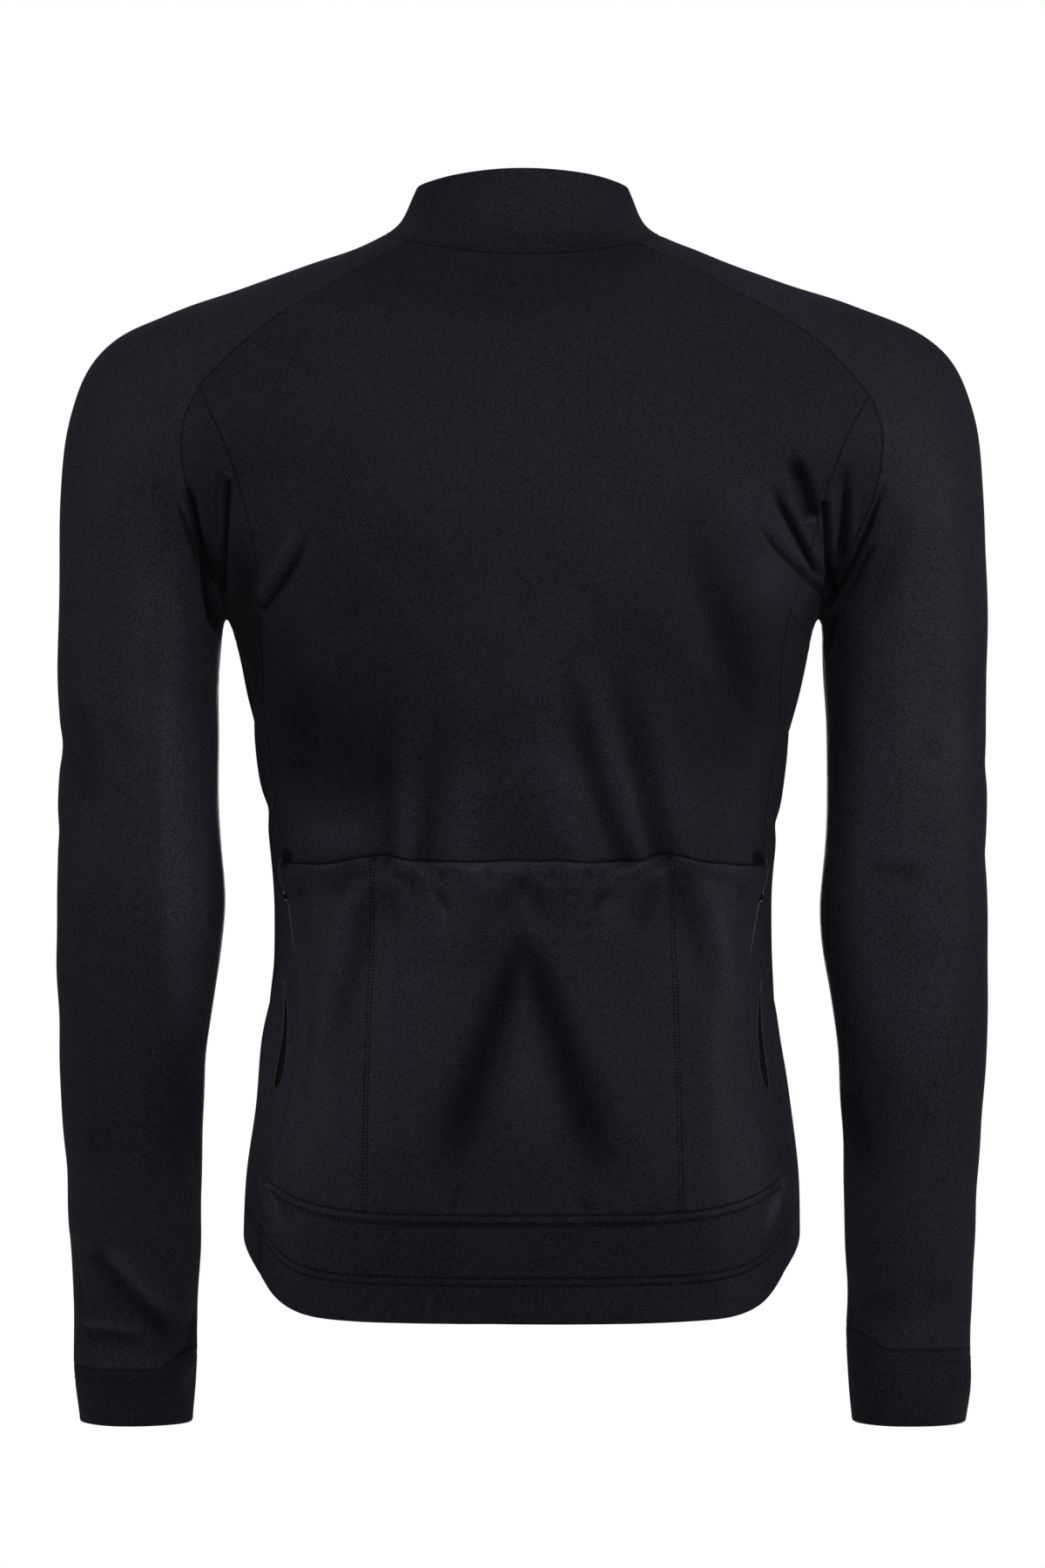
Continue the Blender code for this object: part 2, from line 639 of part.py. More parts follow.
def front_grid(lines):
    """Rows across one front from the zip to its side edge."""
    side = body_side(lines, "front")
    middle, flatness = (np.interp(row_stations(), range(len(FRONT_STATIONS)), column)
                        for column in np.array(FRONT_STATIONS).T)
    start = ZIP_HALF_WIDTH + ZIP_CLEARANCE
    across = np.sin(np.linspace(0, 1, FINE) * math.pi / 2)
    x = start + (side[:, 0:1] - start) * across
    bend = across[None, :] ** flatness[:, None]
    rows = on_face(x, middle[:, None] + (side[:, 2:] - middle[:, None]) * bend, -1)
    first = neck(-math.pi / 2)[1]
    rows[0] = neck(np.linspace(math.atan2(first, start), RAGLAN_FRONT_AZIMUTH, FINE))
    rows[:, -1] = side
    return spread_on_form(rows, FRONT_COLUMNS)


def side_grid(lines):
    """Rows round the body's side from the back's seam to the front's."""
    back = lines["low_back"]
    front = lines["low_front"]
    azimuth_back = np.arctan2(back[:, 1], back[:, 0])[:, None]
    azimuth_front = np.arctan2(front[:, 1], front[:, 0])[:, None]
    across = np.linspace(0, 1, FINE)[None, :]
    curl = np.linspace(1, 3, len(back))[:, None]
    z = front[:, 2:] + (back[:, 2:] - front[:, 2:]) * (1 - across) ** curl
    rows = on_azimuth(azimuth_back + (azimuth_front - azimuth_back) * across, z)
    rows[0] = curve_through(lines["cross"], FINE)
    rows[:, 0] = back
    rows[:, -1] = front
    grid = spread_on_form(rows, CROSS_ROWS)
    grid[0] = lines["cross"]
    return grid


def gusset_grid(lines):
    """Rows along the gusset under the arm, from the back's point to the front's."""
    lower = join(lines["edge_back"], lines["cross"], lines["edge_front"][::-1])
    upper = join(lines["armhole_back"], lines["armhole_front"][::-1])
    for edge in (lower, upper):
        edge[0] += (edge[1] - edge[0]) * TIP
        edge[-1] += (edge[-2] - edge[-1]) * TIP
    across = np.linspace(0, 1, GUSSET_COLUMNS)[None, :, None]
    grid = upper[:, None] + (lower - upper)[:, None] * across
    grid[:, 1:-1] = settle(grid[:, 1:-1])
    return grid


def sleeve_cap(lines):
    """Rows over the shoulder, from the level ring at the armpit to the collar seam.

    Each row between lies in a plane through its two seam points and a point of the
    outline, and is where rays from the arm's middle leave the form in that plane.
    """
    back = join(lines["armhole_back"][::-1], lines["raglan_back"][::-1])
    front = join(lines["armhole_front"][::-1], lines["raglan_front"][::-1])
    heights = np.linspace(back[0, 2], NECK_SIDE_Z, FINE)
    width = OUTLINE.read("half_width", heights)
    outline = np.stack([width, np.zeros(FINE), heights], axis=-1)
    share = lengths(back) / lengths(back)[-1]
    reach = lengths(outline) / lengths(outline)[-1]
    outline = np.stack([np.interp(share, reach, axis) for axis in outline.T], axis=-1)
    most, drop, by = ARM_MIDDLE
    rows = []
    for start, end, top, part in zip(back, front, outline, share):
        middle = (start + end) / 2
        out = (top - middle) / np.linalg.norm(top - middle)
        side = start - end
        side = side - out * np.dot(side, out) + np.array([0, 1e-6, 0])
        side = side / np.linalg.norm(side)
        centre = middle + (top - middle) * (most - drop * min(part / by, 1))
        turns = []
        for point in (start, end):
            arm = (point - centre) / np.linalg.norm(point - centre)
            turns.append(math.acos(np.clip(np.dot(arm, out), -1, 1)))
        angles = np.linspace(turns[0], -turns[1], FINE)[:, None]
        row = cast(centre, np.cos(angles) * out + np.sin(angles) * side, 0.20)
        row[0] = start
        row[-1] = end
        rows.append(row)
    rows[0] = sleeve_rings(back[:1, 2])[0]
    rows[0][[0, -1]] = back[0]
    rows[-1] = neck(np.linspace(RAGLAN_BACK_AZIMUTH, RAGLAN_FRONT_AZIMUTH, FINE))
    return np.array(rows)


def sleeve_rings(heights):
    """Level rings round the sleeve, from its inner seam over the back and outside."""
    inner = SLEEVE.read("inner", heights)
    outer = SLEEVE.read("outer", heights)
    centres = np.stack([(inner + outer) / 2, SLEEVE.read("middle", heights), heights], axis=-1)
    turn = INNER_SEAM_TURN * ramp(heights, *INNER_SEAM_TURN_SPAN)
    angles = (math.pi - turn)[:, None] - np.linspace(0, 2 * math.pi, FINE)[None, :]
    directions = np.stack([np.cos(angles), np.sin(angles), 0 * angles], axis=-1)
    return cast(centres[:, None], directions, 0.08, solid=sleeve_form)


def sleeve_grid(lines):
    """Rows from the collar seam down to the cuff seam, each from back seam to front."""
    cap = sleeve_cap(lines)[::-1]
    first = cap[-1, 0, 2] - SLEEVE_FIRST_STEP
    heights = np.linspace(first, CUFF_SEAM_Z, SLEEVE_TUBE_ROWS)
    rows = np.concatenate([cap, sleeve_rings(heights)])
    return spread_on_form(rows, SLEEVE_COLUMNS_ROUND)


def cuff_grid():
    """Rings from the cuff seam to the sleeve's end."""
    heights = np.linspace(CUFF_SEAM_Z, CUFF_END_Z, CUFF_ROWS)
    return spread_on_form(sleeve_rings(heights), SLEEVE_COLUMNS_ROUND)


def collar_grid():
    """Rings of the stand collar, from the left front edge round the back to the right."""
    start = ZIP_HALF_WIDTH + ZIP_CLEARANCE
    turn = np.linspace(-math.pi / 2, 1.5 * math.pi, 2 * FINE)[1:-1]
    depth = np.sin(turn)
    behind = (COLLAR_BACK_TOP - COLLAR_SIDE_TOP) * depth ** 2
    before = (COLLAR_FRONT_TOP - COLLAR_SIDE_TOP) * np.abs(depth) ** COLLAR_FRONT_CURVE
    top = COLLAR_SIDE_TOP + np.where(depth > 0, behind, before)
    bottom = neck_height(turn)
    up = np.linspace(0, 1, COLLAR_ROWS)[:, None]
    rows = on_azimuth(turn, bottom + (top - bottom) * up)
    rows[:, 0] = on_face(start, rows[:, 0, 2], -1)
    rows[:, -1] = on_face(-start, rows[:, -1, 2], -1)
    return spread_on_form(rows, COLLAR_COLUMNS)


def zip_grid():
    """The strip between the fronts, from hem to collar top."""
    heights = np.linspace(FRONT_STATIONS[-1][0], COLLAR_FRONT_TOP, ZIP_ROWS)[:, None]
    across = np.array([-1, 0, 1]) * ZIP_HALF_WIDTH
    return on_face(across, heights, -1)


def side_zip_grid():
    """The strip in the slit beside the pocket, narrow above and fuller below."""
    x, z = np.array(SIDE_ZIP).T
    middle = curve_through(on_face(x, z, 1), SIDE_ZIP_ROWS)
    share = np.interp(np.linspace(0, 1, SIDE_ZIP_ROWS), *SIDE_ZIP_SHAPE)
    across = np.cross(np.gradient(middle, axis=0), outward(middle))
    across = across / np.linalg.norm(across, axis=1, keepdims=True)
    reach = across * (SIDE_ZIP_HALF_WIDTH * share)[:, None]
    return settle(np.stack([middle - reach, middle, middle + reach], axis=1))


def fold_heights(points, normals):
    """How far the folds lift or sink each point: a bell across, faded at both ends."""
    total = np.zeros(points.shape[:-1])
    flat = points[..., (0, 2)]
    for facing, *bends, half_width, height in FOLDS:
        start, middle, end = np.array(bends).reshape(3, 2)
        steps = np.linspace(0, 1, FOLD_STEPS)
        t = steps[:, None]
        line = (1 - t) ** 2 * start + 2 * t * (1 - t) * middle + t ** 2 * end
        distance = np.linalg.norm(flat[..., None, :] - line, axis=-1)
        nearest = np.argmin(distance, axis=-1)
        along = steps[nearest]
        fade = ramp(along, 0, FOLD_FADE) * ramp(1 - along, 0, FOLD_FADE)
        fade *= ramp(facing * normals[..., 1], *FACING_FADE)
        total += height * fade * np.exp(-(np.min(distance, axis=-1) / half_width) ** 2)
    return total


def folded(grid, lift=0.0):
    """The grid's points moved out by the folds and by lift, and the way out at each."""
    normals = outward(grid)
    height = fold_heights(grid, normals) + lift
    return grid + normals * height[..., None], normals


# --- From grids to solids --------------------------------------------------------------

def inset(grid, rows, columns):
    """The same grid with its edges drawn in: rows = (first, last), columns likewise."""
    grid = grid.copy()
    for view, amounts in ((grid, rows), (grid.transpose(1, 0, 2), columns)):
        for edge, inner, amount in ((0, 1, amounts[0]), (-1, -2, amounts[1])):
            step = view[inner] - view[edge]
            view[edge] += step / np.linalg.norm(step, axis=-1, keepdims=True) * amount
    return grid


def cloth_wall(name, points, normals, thickness, material):
    """A closed wall: the grid of points outside, the same grid a thickness further in.

    Faces run round the outer grid, the inner grid and the rim that joins their borders.
    """
    rows, columns = points.shape[:2]
    run = np.cross(points[1, 1] - points[0, 1], points[1, 2] - points[1, 1])
    if np.dot(run, normals[1, 1]) < 0:
        points = points[:, ::-1]
        normals = normals[:, ::-1]
    inner = points - normals * thickness
    vertices = np.concatenate([points.reshape(-1, 3), inner.reshape(-1, 3)])
    index = np.arange(rows * columns).reshape(rows, columns)
    quads = np.stack([index[:-1, :-1], index[1:, :-1], index[1:, 1:], index[:-1, 1:]], axis=-1)
    quads = quads.reshape(-1, 4)
    rim = np.concatenate([index[0, :], index[1:, -1], index[-1, -2::-1], index[-2:0:-1, 0]])
    after = np.roll(rim, -1)
    count = rows * columns
    sides = np.stack([rim, after, after + count, rim + count], axis=-1)
    faces = np.concatenate([quads, quads[:, ::-1] + count, sides])
    mesh = bpy.data.meshes.new(name)
    mesh.from_pydata(vertices.tolist(), [], faces.tolist())
    mesh.update()
    return place(name, mesh, material)


def place(name, mesh, material):
    """A new smooth-shaded object of this mesh in the jersey's collection."""
    thing = bpy.data.objects.new(name, mesh)
    bpy.data.collections[COLLECTION].objects.link(thing)
    mesh.materials.append(material)
    mesh.shade_smooth()
    mesh.set_sharp_from_angle(angle=SHARP_ANGLE)
    return thing


def finish(name, colour, roughness, metallic=0.0):
    """A plain Principled material."""
    material = bpy.data.materials.new(name)
    material.use_nodes = True
    shader = material.node_tree.nodes["Principled BSDF"]
    shader.inputs["Base Color"].default_value = (*colour, 1.0)
    shader.inputs["Roughness"].default_value = roughness
    shader.inputs["Metallic"].default_value = metallic
    return material


def clear_scene():
    """Empty the scene and make the jersey's collection."""
    for thing in list(bpy.data.objects):
        bpy.data.objects.remove(thing)
    collection = bpy.data.collections.new(COLLECTION)
    bpy.context.scene.collection.children.link(collection)


def mirrored(grid, side):
    """The grid itself for the left side, its mirror image for the right."""
    return grid if side == "left" else grid * (-1, 1, 1)


def build_panels(knit):
    """Back, fronts, sides, gussets, sleeves, cuffs and collar."""
    lines = {side: seams(side) for side in ("left", "right")}
    g = SEAM_INSET
    back = back_grid(lines["left"], lines["right"])
    shrunk = inset(back, (NECK_SEAM_INSET, 0), (g, g))
    cloth_wall("back_panel", *folded(shrunk), CLOTH, knit)
    for side in ("left", "right"):
        pieces = (
            ("front_", front_grid(lines[side]), (NECK_SEAM_INSET, 0), (0, g)),
            ("side_", side_grid(lines[side]), (g, 0), (g, g)),
            ("gusset_", gusset_grid(lines[side]), (0, 0), (ARMHOLE_INSET, g)),
            ("sleeve_", sleeve_grid(lines[side]), (NECK_SEAM_INSET, g), (g, g)),
            ("cuff_", cuff_grid(), (g, 0), (g, g)),
        )
        for name, grid, rows, columns in pieces:
            grid = mirrored(inset(grid, rows, columns), side)
            cloth_wall(name + side, *folded(grid), CLOTH, knit)
    collar = inset(collar_grid(), (NECK_SEAM_INSET, 0), (0, 0))
    cloth_wall("collar", *folded(collar), CLOTH, knit)
    return back


def build_pocket(back, knit):
    """The pocket layer over the back, from its own points, fuller between its seams."""
    stations = row_stations()
    base = back[(stations >= POCKET_STATIONS[0]) & (stations <= POCKET_STATIONS[1])]
    up = np.linspace(1, 0, base.shape[0])[:, None]
    across = np.linspace(-1, 1, base.shape[1])[None, :]
    beside = np.abs(np.abs(base[..., 0]) - POCKET_PARTITION_X)
    full = np.sqrt(up) * (1 - across ** 8) * ramp(beside, 0, POCKET_SWELL)
    base = inset(base, (0, 0), (POCKET_SIDE_INSET, POCKET_SIDE_INSET))
    lift = POCKET_GAP + CLOTH + POCKET_FULLNESS * full
    cloth_wall("pocket_panel", *folded(base, lift), CLOTH, knit)


def build_zips(tape):
    """The front zip and the two zips beside the pockets."""
    cloth_wall("front_zip", *folded(zip_grid(), ZIP_PROUD), ZIP_THICK, tape)
    for side in ("left", "right"):
        strip = mirrored(side_zip_grid(), side)
        lift = ZIP_CLEARANCE + SIDE_ZIP_THICK
        cloth_wall("side_zip_" + side, *folded(strip, lift), SIDE_ZIP_THICK, tape)


def block(size, centre):
    """A bevelled box of this size, as a mesh object not yet in the jersey."""
    bpy.ops.mesh.primitive_cube_add(size=1, location=centre)
    thing = bpy.context.object
    thing.data.transform(Matrix.Diagonal((*size, 1)))
    bevel = thing.modifiers.new("bevel", "BEVEL")
    bevel.width = min(size) * 0.2
    bevel.segments = 1
    return thing


def united(name, first, others, turn, material):
    """The first piece with the others joined on by Boolean union, moved to its place."""
    for other in others:
        union = first.modifiers.new("union", "BOOLEAN")
        union.operation = "UNION"
        union.object = other
    bpy.context.view_layer.update()
    shape = first.evaluated_get(bpy.context.evaluated_depsgraph_get())
    mesh = bpy.data.meshes.new_from_object(shape)
    mesh.transform(first.matrix_world)
    for piece in [first] + others:
        bpy.data.objects.remove(piece)
    thing = place(name, mesh, material)
    thing.matrix_world = turn
    return thing


def build_slider(metal):
    """The slider at the collar and its pull tab, hung on a pin between two cheeks.

    Both are modelled with the chain along Z, outward along -Y and the pin at the origin.
    """
    seat = on_face(0.0, SLIDER_Z, -1)
    out = Vector(outward(seat))
    right = Vector((1, 0, 0))
    up = right.cross(-out)
    base = ZIP_PROUD + ZIP_CLEARANCE
    pin_out = base + SLIDER_SIZE[1] + ZIP_CLEARANCE + PIN_RADIUS
    pin = Vector(seat) + out * pin_out
    turn = Matrix((right, -out, up)).transposed().to_4x4()
    turn.translation = pin
    plate_y = pin_out - base - SLIDER_SIZE[1] / 2
    cheek_y = plate_y - SLIDER_SIZE[1] / 2 - CHEEK_SIZE[1] / 2 + 0.0004
    plate = block(SLIDER_SIZE, (0, plate_y, 0))
    cheeks = [block(CHEEK_SIZE, (sign * CHEEK_OFFSET, cheek_y, 0)) for sign in (-1, 1)]
    united("zip_slider", plate, cheeks, turn, metal)
    bpy.ops.mesh.primitive_cylinder_add(radius=PIN_RADIUS, depth=PIN_LENGTH, vertices=16,
                                        rotation=(0, math.pi / 2, 0))
    pin_piece = bpy.context.object
    neck_piece = block(PULL_NECK, (0, 0, -PULL_NECK[2] / 2))
    grip = block(PULL_GRIP, (0, 0, -PULL_NECK[2] - PULL_GRIP[2] / 2 + 0.001))
    lean = Matrix.Rotation(PULL_LEAN, 4, "X")
    united("zip_pull", pin_piece, [neck_piece, grip], turn @ lean, metal)


clear_scene()
KNIT = finish("navy_knit", (0.012, 0.012, 0.017), 0.55)
TAPE = finish("black_tape", (0.006, 0.006, 0.007), 0.6)
METAL = finish("black_metal", (0.02, 0.02, 0.022), 0.35, 0.8)
back_points = build_panels(KNIT)
build_pocket(back_points, KNIT)
build_zips(TAPE)
build_slider(METAL)
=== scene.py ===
"""Long-sleeved cycling jersey: knit panels, sewing, zips and pockets round its frame.

The front faces -Y, the wearer's left is +X and +Z is up. The origin is the middle of the
neck hole. All sizes are in metres, but for the tables of folds and of painted light and
shade, which are in millimetres.

The cloth lies on one smooth form, given by ovals whose sizes change with height. Each
panel is a grid of points on that form between its seams, moved out or in by folds,
ripples, seams and stitched lines. Folds, seams, stitched lines and listed places also
carry painted light and shade in the cloth's colour.
"""

import functools
import math

import bpy
import numpy as np
from bpy.props import FloatProperty, FloatVectorProperty, PointerProperty
from mathutils import Matrix, Vector


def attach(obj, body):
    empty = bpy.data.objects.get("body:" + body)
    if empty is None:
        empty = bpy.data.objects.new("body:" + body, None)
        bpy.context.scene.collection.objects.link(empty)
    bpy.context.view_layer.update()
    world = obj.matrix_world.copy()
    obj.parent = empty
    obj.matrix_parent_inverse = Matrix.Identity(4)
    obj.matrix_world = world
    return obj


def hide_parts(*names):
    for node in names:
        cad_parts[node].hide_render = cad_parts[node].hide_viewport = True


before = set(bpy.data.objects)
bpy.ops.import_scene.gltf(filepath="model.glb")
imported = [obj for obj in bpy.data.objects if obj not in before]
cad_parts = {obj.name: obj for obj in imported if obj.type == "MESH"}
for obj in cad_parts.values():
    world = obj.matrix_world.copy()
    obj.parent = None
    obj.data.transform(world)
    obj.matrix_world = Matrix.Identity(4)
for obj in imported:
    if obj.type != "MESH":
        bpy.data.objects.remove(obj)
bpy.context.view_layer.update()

bl_info = {
    "name": "Cycling jersey",
    "version": (1, 0, 0),
    "blender": (4, 5, 0),
    "location": "3D View > Sidebar > Jersey",
    "description": "Builds a worn long-sleeved cycling jersey, its sewing and its zips",
    "category": "Add Mesh",
}

# --- Driving dimensions ---

SLOPE_STEP = 0.0001  # step for the slope of the form
SLEEVE_POWER = 2.1  # a little squarer than an ellipse
SHOULDER_BLEND = (-0.105, -0.213)
CROTCH_ROUNDING = 0.008  # where sleeve and body meet under the arm
SHOULDER_ROUNDING = 0.036  # and higher up
CROTCH_X = 0.179

NECK_SIDE_Z = 0.0005  # the collar seam, at the sides of the neck
NECK_BACK_DROP = 0.0193
NECK_FRONT_DROP = 0.0500
NECK_CURVE = 1.35
RAGLAN_BACK_AZIMUTH = math.radians(36.6)
RAGLAN_FRONT_AZIMUTH = math.radians(-50.0)
COLLAR_SIDE_TOP = 0.0300
COLLAR_BACK_TOP = 0.0338
COLLAR_FRONT_TOP = 0.0190
COLLAR_FRONT_CURVE = 1.5

CUFF_SEAM_Z = {"left": -0.6885, "right": -0.6765}
CUFF_SEAM_RISE = 0.012  # the cuff seam climbs so far on the inner side
CUFF_END_Z = -0.7255
INNER_SEAM_TURN = 0.20  # radians behind the innermost line of the sleeve
INNER_SEAM_TURN_SPAN = (-0.2335, -0.3000)

POCKET_GAP = 0.0003  # pocket layer above the back, at its sewn edges
POCKET_SWELL = 0.020  # distance from a stitched line to the full height
POCKET_SIDE_INSET = 0.0006
PARTITION = ((-0.3700, 0.0872), (-0.4200, 0.0882), (-0.4782, 0.0899), (-0.5860, 0.0920))

NECK_REACH = 0.045  # the sleeve's rows take the collar seam's shape from here
ARMPIT_REACH = 0.060  # and the level ring's shape from here
COLLAR_GAP = 0.062  # radians from the middle of the zip to the collar's edge
CROSS_FADE = 0.060  # the side panel's rows are level so far below its top

ZIP_EDGE = 0.0037  # from the middle of the chain to a front's edge
TAPE_HALF_WIDTH = 0.0060
TAPE_SINK = 0.0014  # outside of the tape below the outside of the fronts
TOOTH_PITCH = 0.0015
SLIDER_Z = 0.0075

PAINTED_SHADE_FACTOR = 1.32  # painted shade and light: colour factor for each millimetre of a narrow fold's height
PAINTED_SHADE_WIDTH = 12.0  # a fold wider than this, both sides together, has less painted shade and light
NARROW_WIDTH = 9.0  # and one narrower than this is less deep

FINE = 181  # places along a row before it is spread
TIP = 0.12  # the gusset stops this share of a step short of its tips
# Where the rays for the sleeve's top start: from its seams this share of the way out to the
# outline, less the second number by the third share of the way up to the collar.
ARM_MIDDLE = (0.5, 0.35, 0.5)
SLEEVE_FIRST_STEP = 0.020
CLOSE = (0.0, 0.0005, 0.0010, 0.0017)  # rows beside a seam, hem or stitched line
CLOSEST = 0.0011  # an even row nearer than this to one of those is left out
POCKET_STATION = 3  # where the pocket and the hem begin in the list of stretches
HEM_STATION = 4
SLEEVE_LENGTH = 0.430  # below the first step under the armpit
TAPE_INSET = 0.001  # the zip's tape ends this far inside hem and collar top
BAR_X = 0.0864  # middle of the barred tops of the lines between pockets

# Half width of the outline across both sleeves, from the collar to the armpits.
OUTLINE_COLUMNS = ("z", "half_width")
OUTLINE_ROWS = (
    (0.04, 0.059), (0.0232, 0.0666), (0.0147, 0.07), (0.0063, 0.0753), (0.0021, 0.0805),
    (-0.0021, 0.0887), (-0.0105, 0.11), (-0.0253, 0.1508), (-0.0358, 0.1797),
    (-0.0463, 0.2103), (-0.0568, 0.2361), (-0.0674, 0.2511), (-0.0779, 0.2597),
    (-0.0989, 0.2692), (-0.12, 0.2747), (-0.1411, 0.2779), (-0.175, 0.2797),
    (-0.235, 0.2798),
)

# How far the collar, upper back and chest stand behind and before the neck's middle.
DEPTH_COLUMNS = ("z", "back", "front", "power")
DEPTH_ROWS = (
    (0.04, 0.058, 0.06, 2.0), (0.0147, 0.0605, 0.0625, 2.0), (0.0, 0.0635, 0.0655, 2.0),
    (-0.018, 0.069, 0.07, 1.95), (-0.03, 0.075, 0.073, 1.9), (-0.05, 0.086, 0.08, 1.9),
    (-0.08, 0.0985, 0.093, 1.95), (-0.11, 0.108, 0.106, 2.0), (-0.14, 0.1145, 0.1145, 2.0),
    (-0.175, 0.119, 0.1205, 2.0), (-0.235, 0.119, 0.122, 2.0),
)

# The body below the shoulders.
BODY_COLUMNS = ("z", "half_width", "back", "front", "power")
BODY_ROWS = (
    (-0.09, 0.218, 0.102, 0.098, 2.1), (-0.13, 0.208, 0.1125, 0.112, 2.2),
    (-0.17, 0.195, 0.1185, 0.12, 2.3), (-0.205, 0.184, 0.1195, 0.1225, 2.35),
    (-0.235, 0.176, 0.118, 0.122, 2.4), (-0.257, 0.1708, 0.115, 0.12, 2.4),
    (-0.2885, 0.164, 0.1095, 0.1165, 2.4), (-0.325, 0.1586, 0.102, 0.112, 2.4),
    (-0.365, 0.1534, 0.0945, 0.1075, 2.4), (-0.415, 0.1503, 0.09, 0.105, 2.4),
    (-0.455, 0.153, 0.0935, 0.1045, 2.4), (-0.5, 0.1585, 0.102, 0.105, 2.4),
    (-0.545, 0.1638, 0.1095, 0.105, 2.4), (-0.585, 0.1668, 0.1125, 0.104, 2.4),
    (-0.62, 0.1672, 0.1115, 0.102, 2.4), (-0.67, 0.165, 0.108, 0.099, 2.4),
)

# One sleeve: its inner and outer edge across, its middle and half depth along Y.
SLEEVE_COLUMNS = ("z", "inner", "outer", "middle", "half_depth")
SLEEVE_ROWS = (
    (-0.09, 0.206, 0.266, 0.0, 0.06), (-0.13, 0.198, 0.2765, 0.0, 0.06),
    (-0.175, 0.189, 0.2797, 0.0015, 0.0585), (-0.2149, 0.1815, 0.2797, 0.003, 0.056),
    (-0.257, 0.1817, 0.2797, 0.006, 0.054), (-0.2885, 0.1832, 0.2791, 0.0075, 0.0525),
    (-0.32, 0.1836, 0.2788, 0.0088, 0.0515), (-0.3515, 0.1826, 0.2788, 0.009, 0.051),
    (-0.383, 0.1803, 0.2796, 0.008, 0.0505), (-0.4068, 0.1795, 0.2807, 0.005, 0.05),
    (-0.4304, 0.182, 0.2812, 0.0015, 0.049), (-0.4623, 0.1874, 0.2816, -0.0055, 0.0465),
    (-0.5106, 0.193, 0.2805, -0.017, 0.043), (-0.5757, 0.1967, 0.2783, -0.033, 0.0385),
    (-0.6416, 0.1994, 0.2771, -0.05, 0.0335), (-0.6749, 0.2012, 0.277, -0.059, 0.031),
    (-0.7083, 0.203, 0.2766, -0.067, 0.029), (-0.7255, 0.2042, 0.2748, -0.071, 0.0285),
    (-0.76, 0.206, 0.273, -0.079, 0.028),
)

# Seams, as places across and up. The two sides of the back differ a little. Edge and
# armhole go on from the end of the raglan seam.
SEAM_COLUMNS = {"left": slice(0, 2), "right": slice(2, 4)}  # in rows of four numbers
RAGLAN_BACK = (
    (0.0931, -0.0226, 0.0953, -0.0212), (0.1176, -0.0373, 0.1249, -0.0369),
    (0.1468, -0.0568, 0.1527, -0.0538), (0.1692, -0.0751, 0.176, -0.071),
    (0.1901, -0.0962, 0.2042, -0.1014),
)
SIDE_BACK = (
    (0.1781, -0.1236, 0.193, -0.1215), (0.1693, -0.1452, 0.1819, -0.1468),
    (0.162, -0.17, 0.1745, -0.1735), (0.1567, -0.1976, 0.168, -0.199),
    (0.1551, -0.2285, 0.1585, -0.2285),
)
ARMHOLE_BACK = (
    (0.1997, -0.1178, 0.2118, -0.12), (0.2003, -0.1397, 0.2115, -0.14),
    (0.1971, -0.1577, 0.207, -0.162), (0.1924, -0.178, 0.1988, -0.183),
    (0.188, -0.1982, 0.193, -0.2), (0.1835, -0.211, 0.1865, -0.215),
)
RAGLAN_FRONT = (
    (0.086, -0.0465), (0.113, -0.06), (0.141, -0.0755), (0.166, -0.0915), (0.187, -0.108),
)
SIDE_FRONT = (
    (0.176, -0.132), (0.168, -0.155), (0.162, -0.18), (0.158, -0.205), (0.156, -0.2285),
)
ARMHOLE_FRONT = (
    (0.195, -0.122), (0.1975, -0.14), (0.1955, -0.16), (0.1915, -0.18), (0.187, -0.198),
    (0.1832, -0.211),
)
CROSS_SEAM = (  # under the arm, from back to front, as y and z
    (0.0561, -0.2347), (0.0364, -0.2397), (0.0, -0.2455), (-0.0364, -0.2397),
    (-0.0561, -0.2347),
)

# The edge on down to the hem, each stretch from the end of the one before.
WAIST_BACK = (
    (0.154, -0.2549), (0.1536, -0.2809), (0.151, -0.3072), (0.1478, -0.33), (0.1448, -0.35),
    (0.1425, -0.3783),
)
POCKET_BACK = (
    (0.1412, -0.3929), (0.1392, -0.4057), (0.1364, -0.4211), (0.1335, -0.444),
    (0.1335, -0.48), (0.1375, -0.515), (0.1445, -0.5463), (0.1515, -0.569),
)
HEM_BACK = (
    (0.1545, -0.595), (0.155, -0.6205),
)
WAIST_FRONT = (
    (0.1545, -0.2549), (0.15, -0.285), (0.1462, -0.315), (0.1425, -0.345),
    (0.1405, -0.3783),
)
POCKET_FRONT = (
    (0.1385, -0.415), (0.141, -0.455), (0.146, -0.5), (0.1505, -0.54), (0.1525, -0.565),
)
HEM_FRONT = (
    (0.1535, -0.58), (0.154, -0.595),
)

# Rows of the back and of a front: how far along the side seam's stretches, height of the
# row in the middle, and how flat the row stays before it bends to the seam.
HEM_SHARES = (0.477, 0.564)  # the two stitched lines, down the hem's stretch
BACK_STATIONS = (
    (0, -0.0188, 2), (1, -0.103, 2), (2, -0.2285, 2), (3, -0.3755, 2), (4, -0.5858, 6.5),
    (4 + HEM_SHARES[0], -0.6167, 10),
    (4 + HEM_SHARES[1], -0.6212, 10),
    (5, -0.6437, 12),
)
FRONT_STATIONS = (
    (0, -0.0495, 2), (1, -0.127, 2), (2, -0.2285, 2), (3, -0.3783, 2), (4, -0.569, 2),
    (4 + HEM_SHARES[0], -0.5730, 2),
    (4 + HEM_SHARES[1], -0.5775, 2),
    (5, -0.6, 2),
)
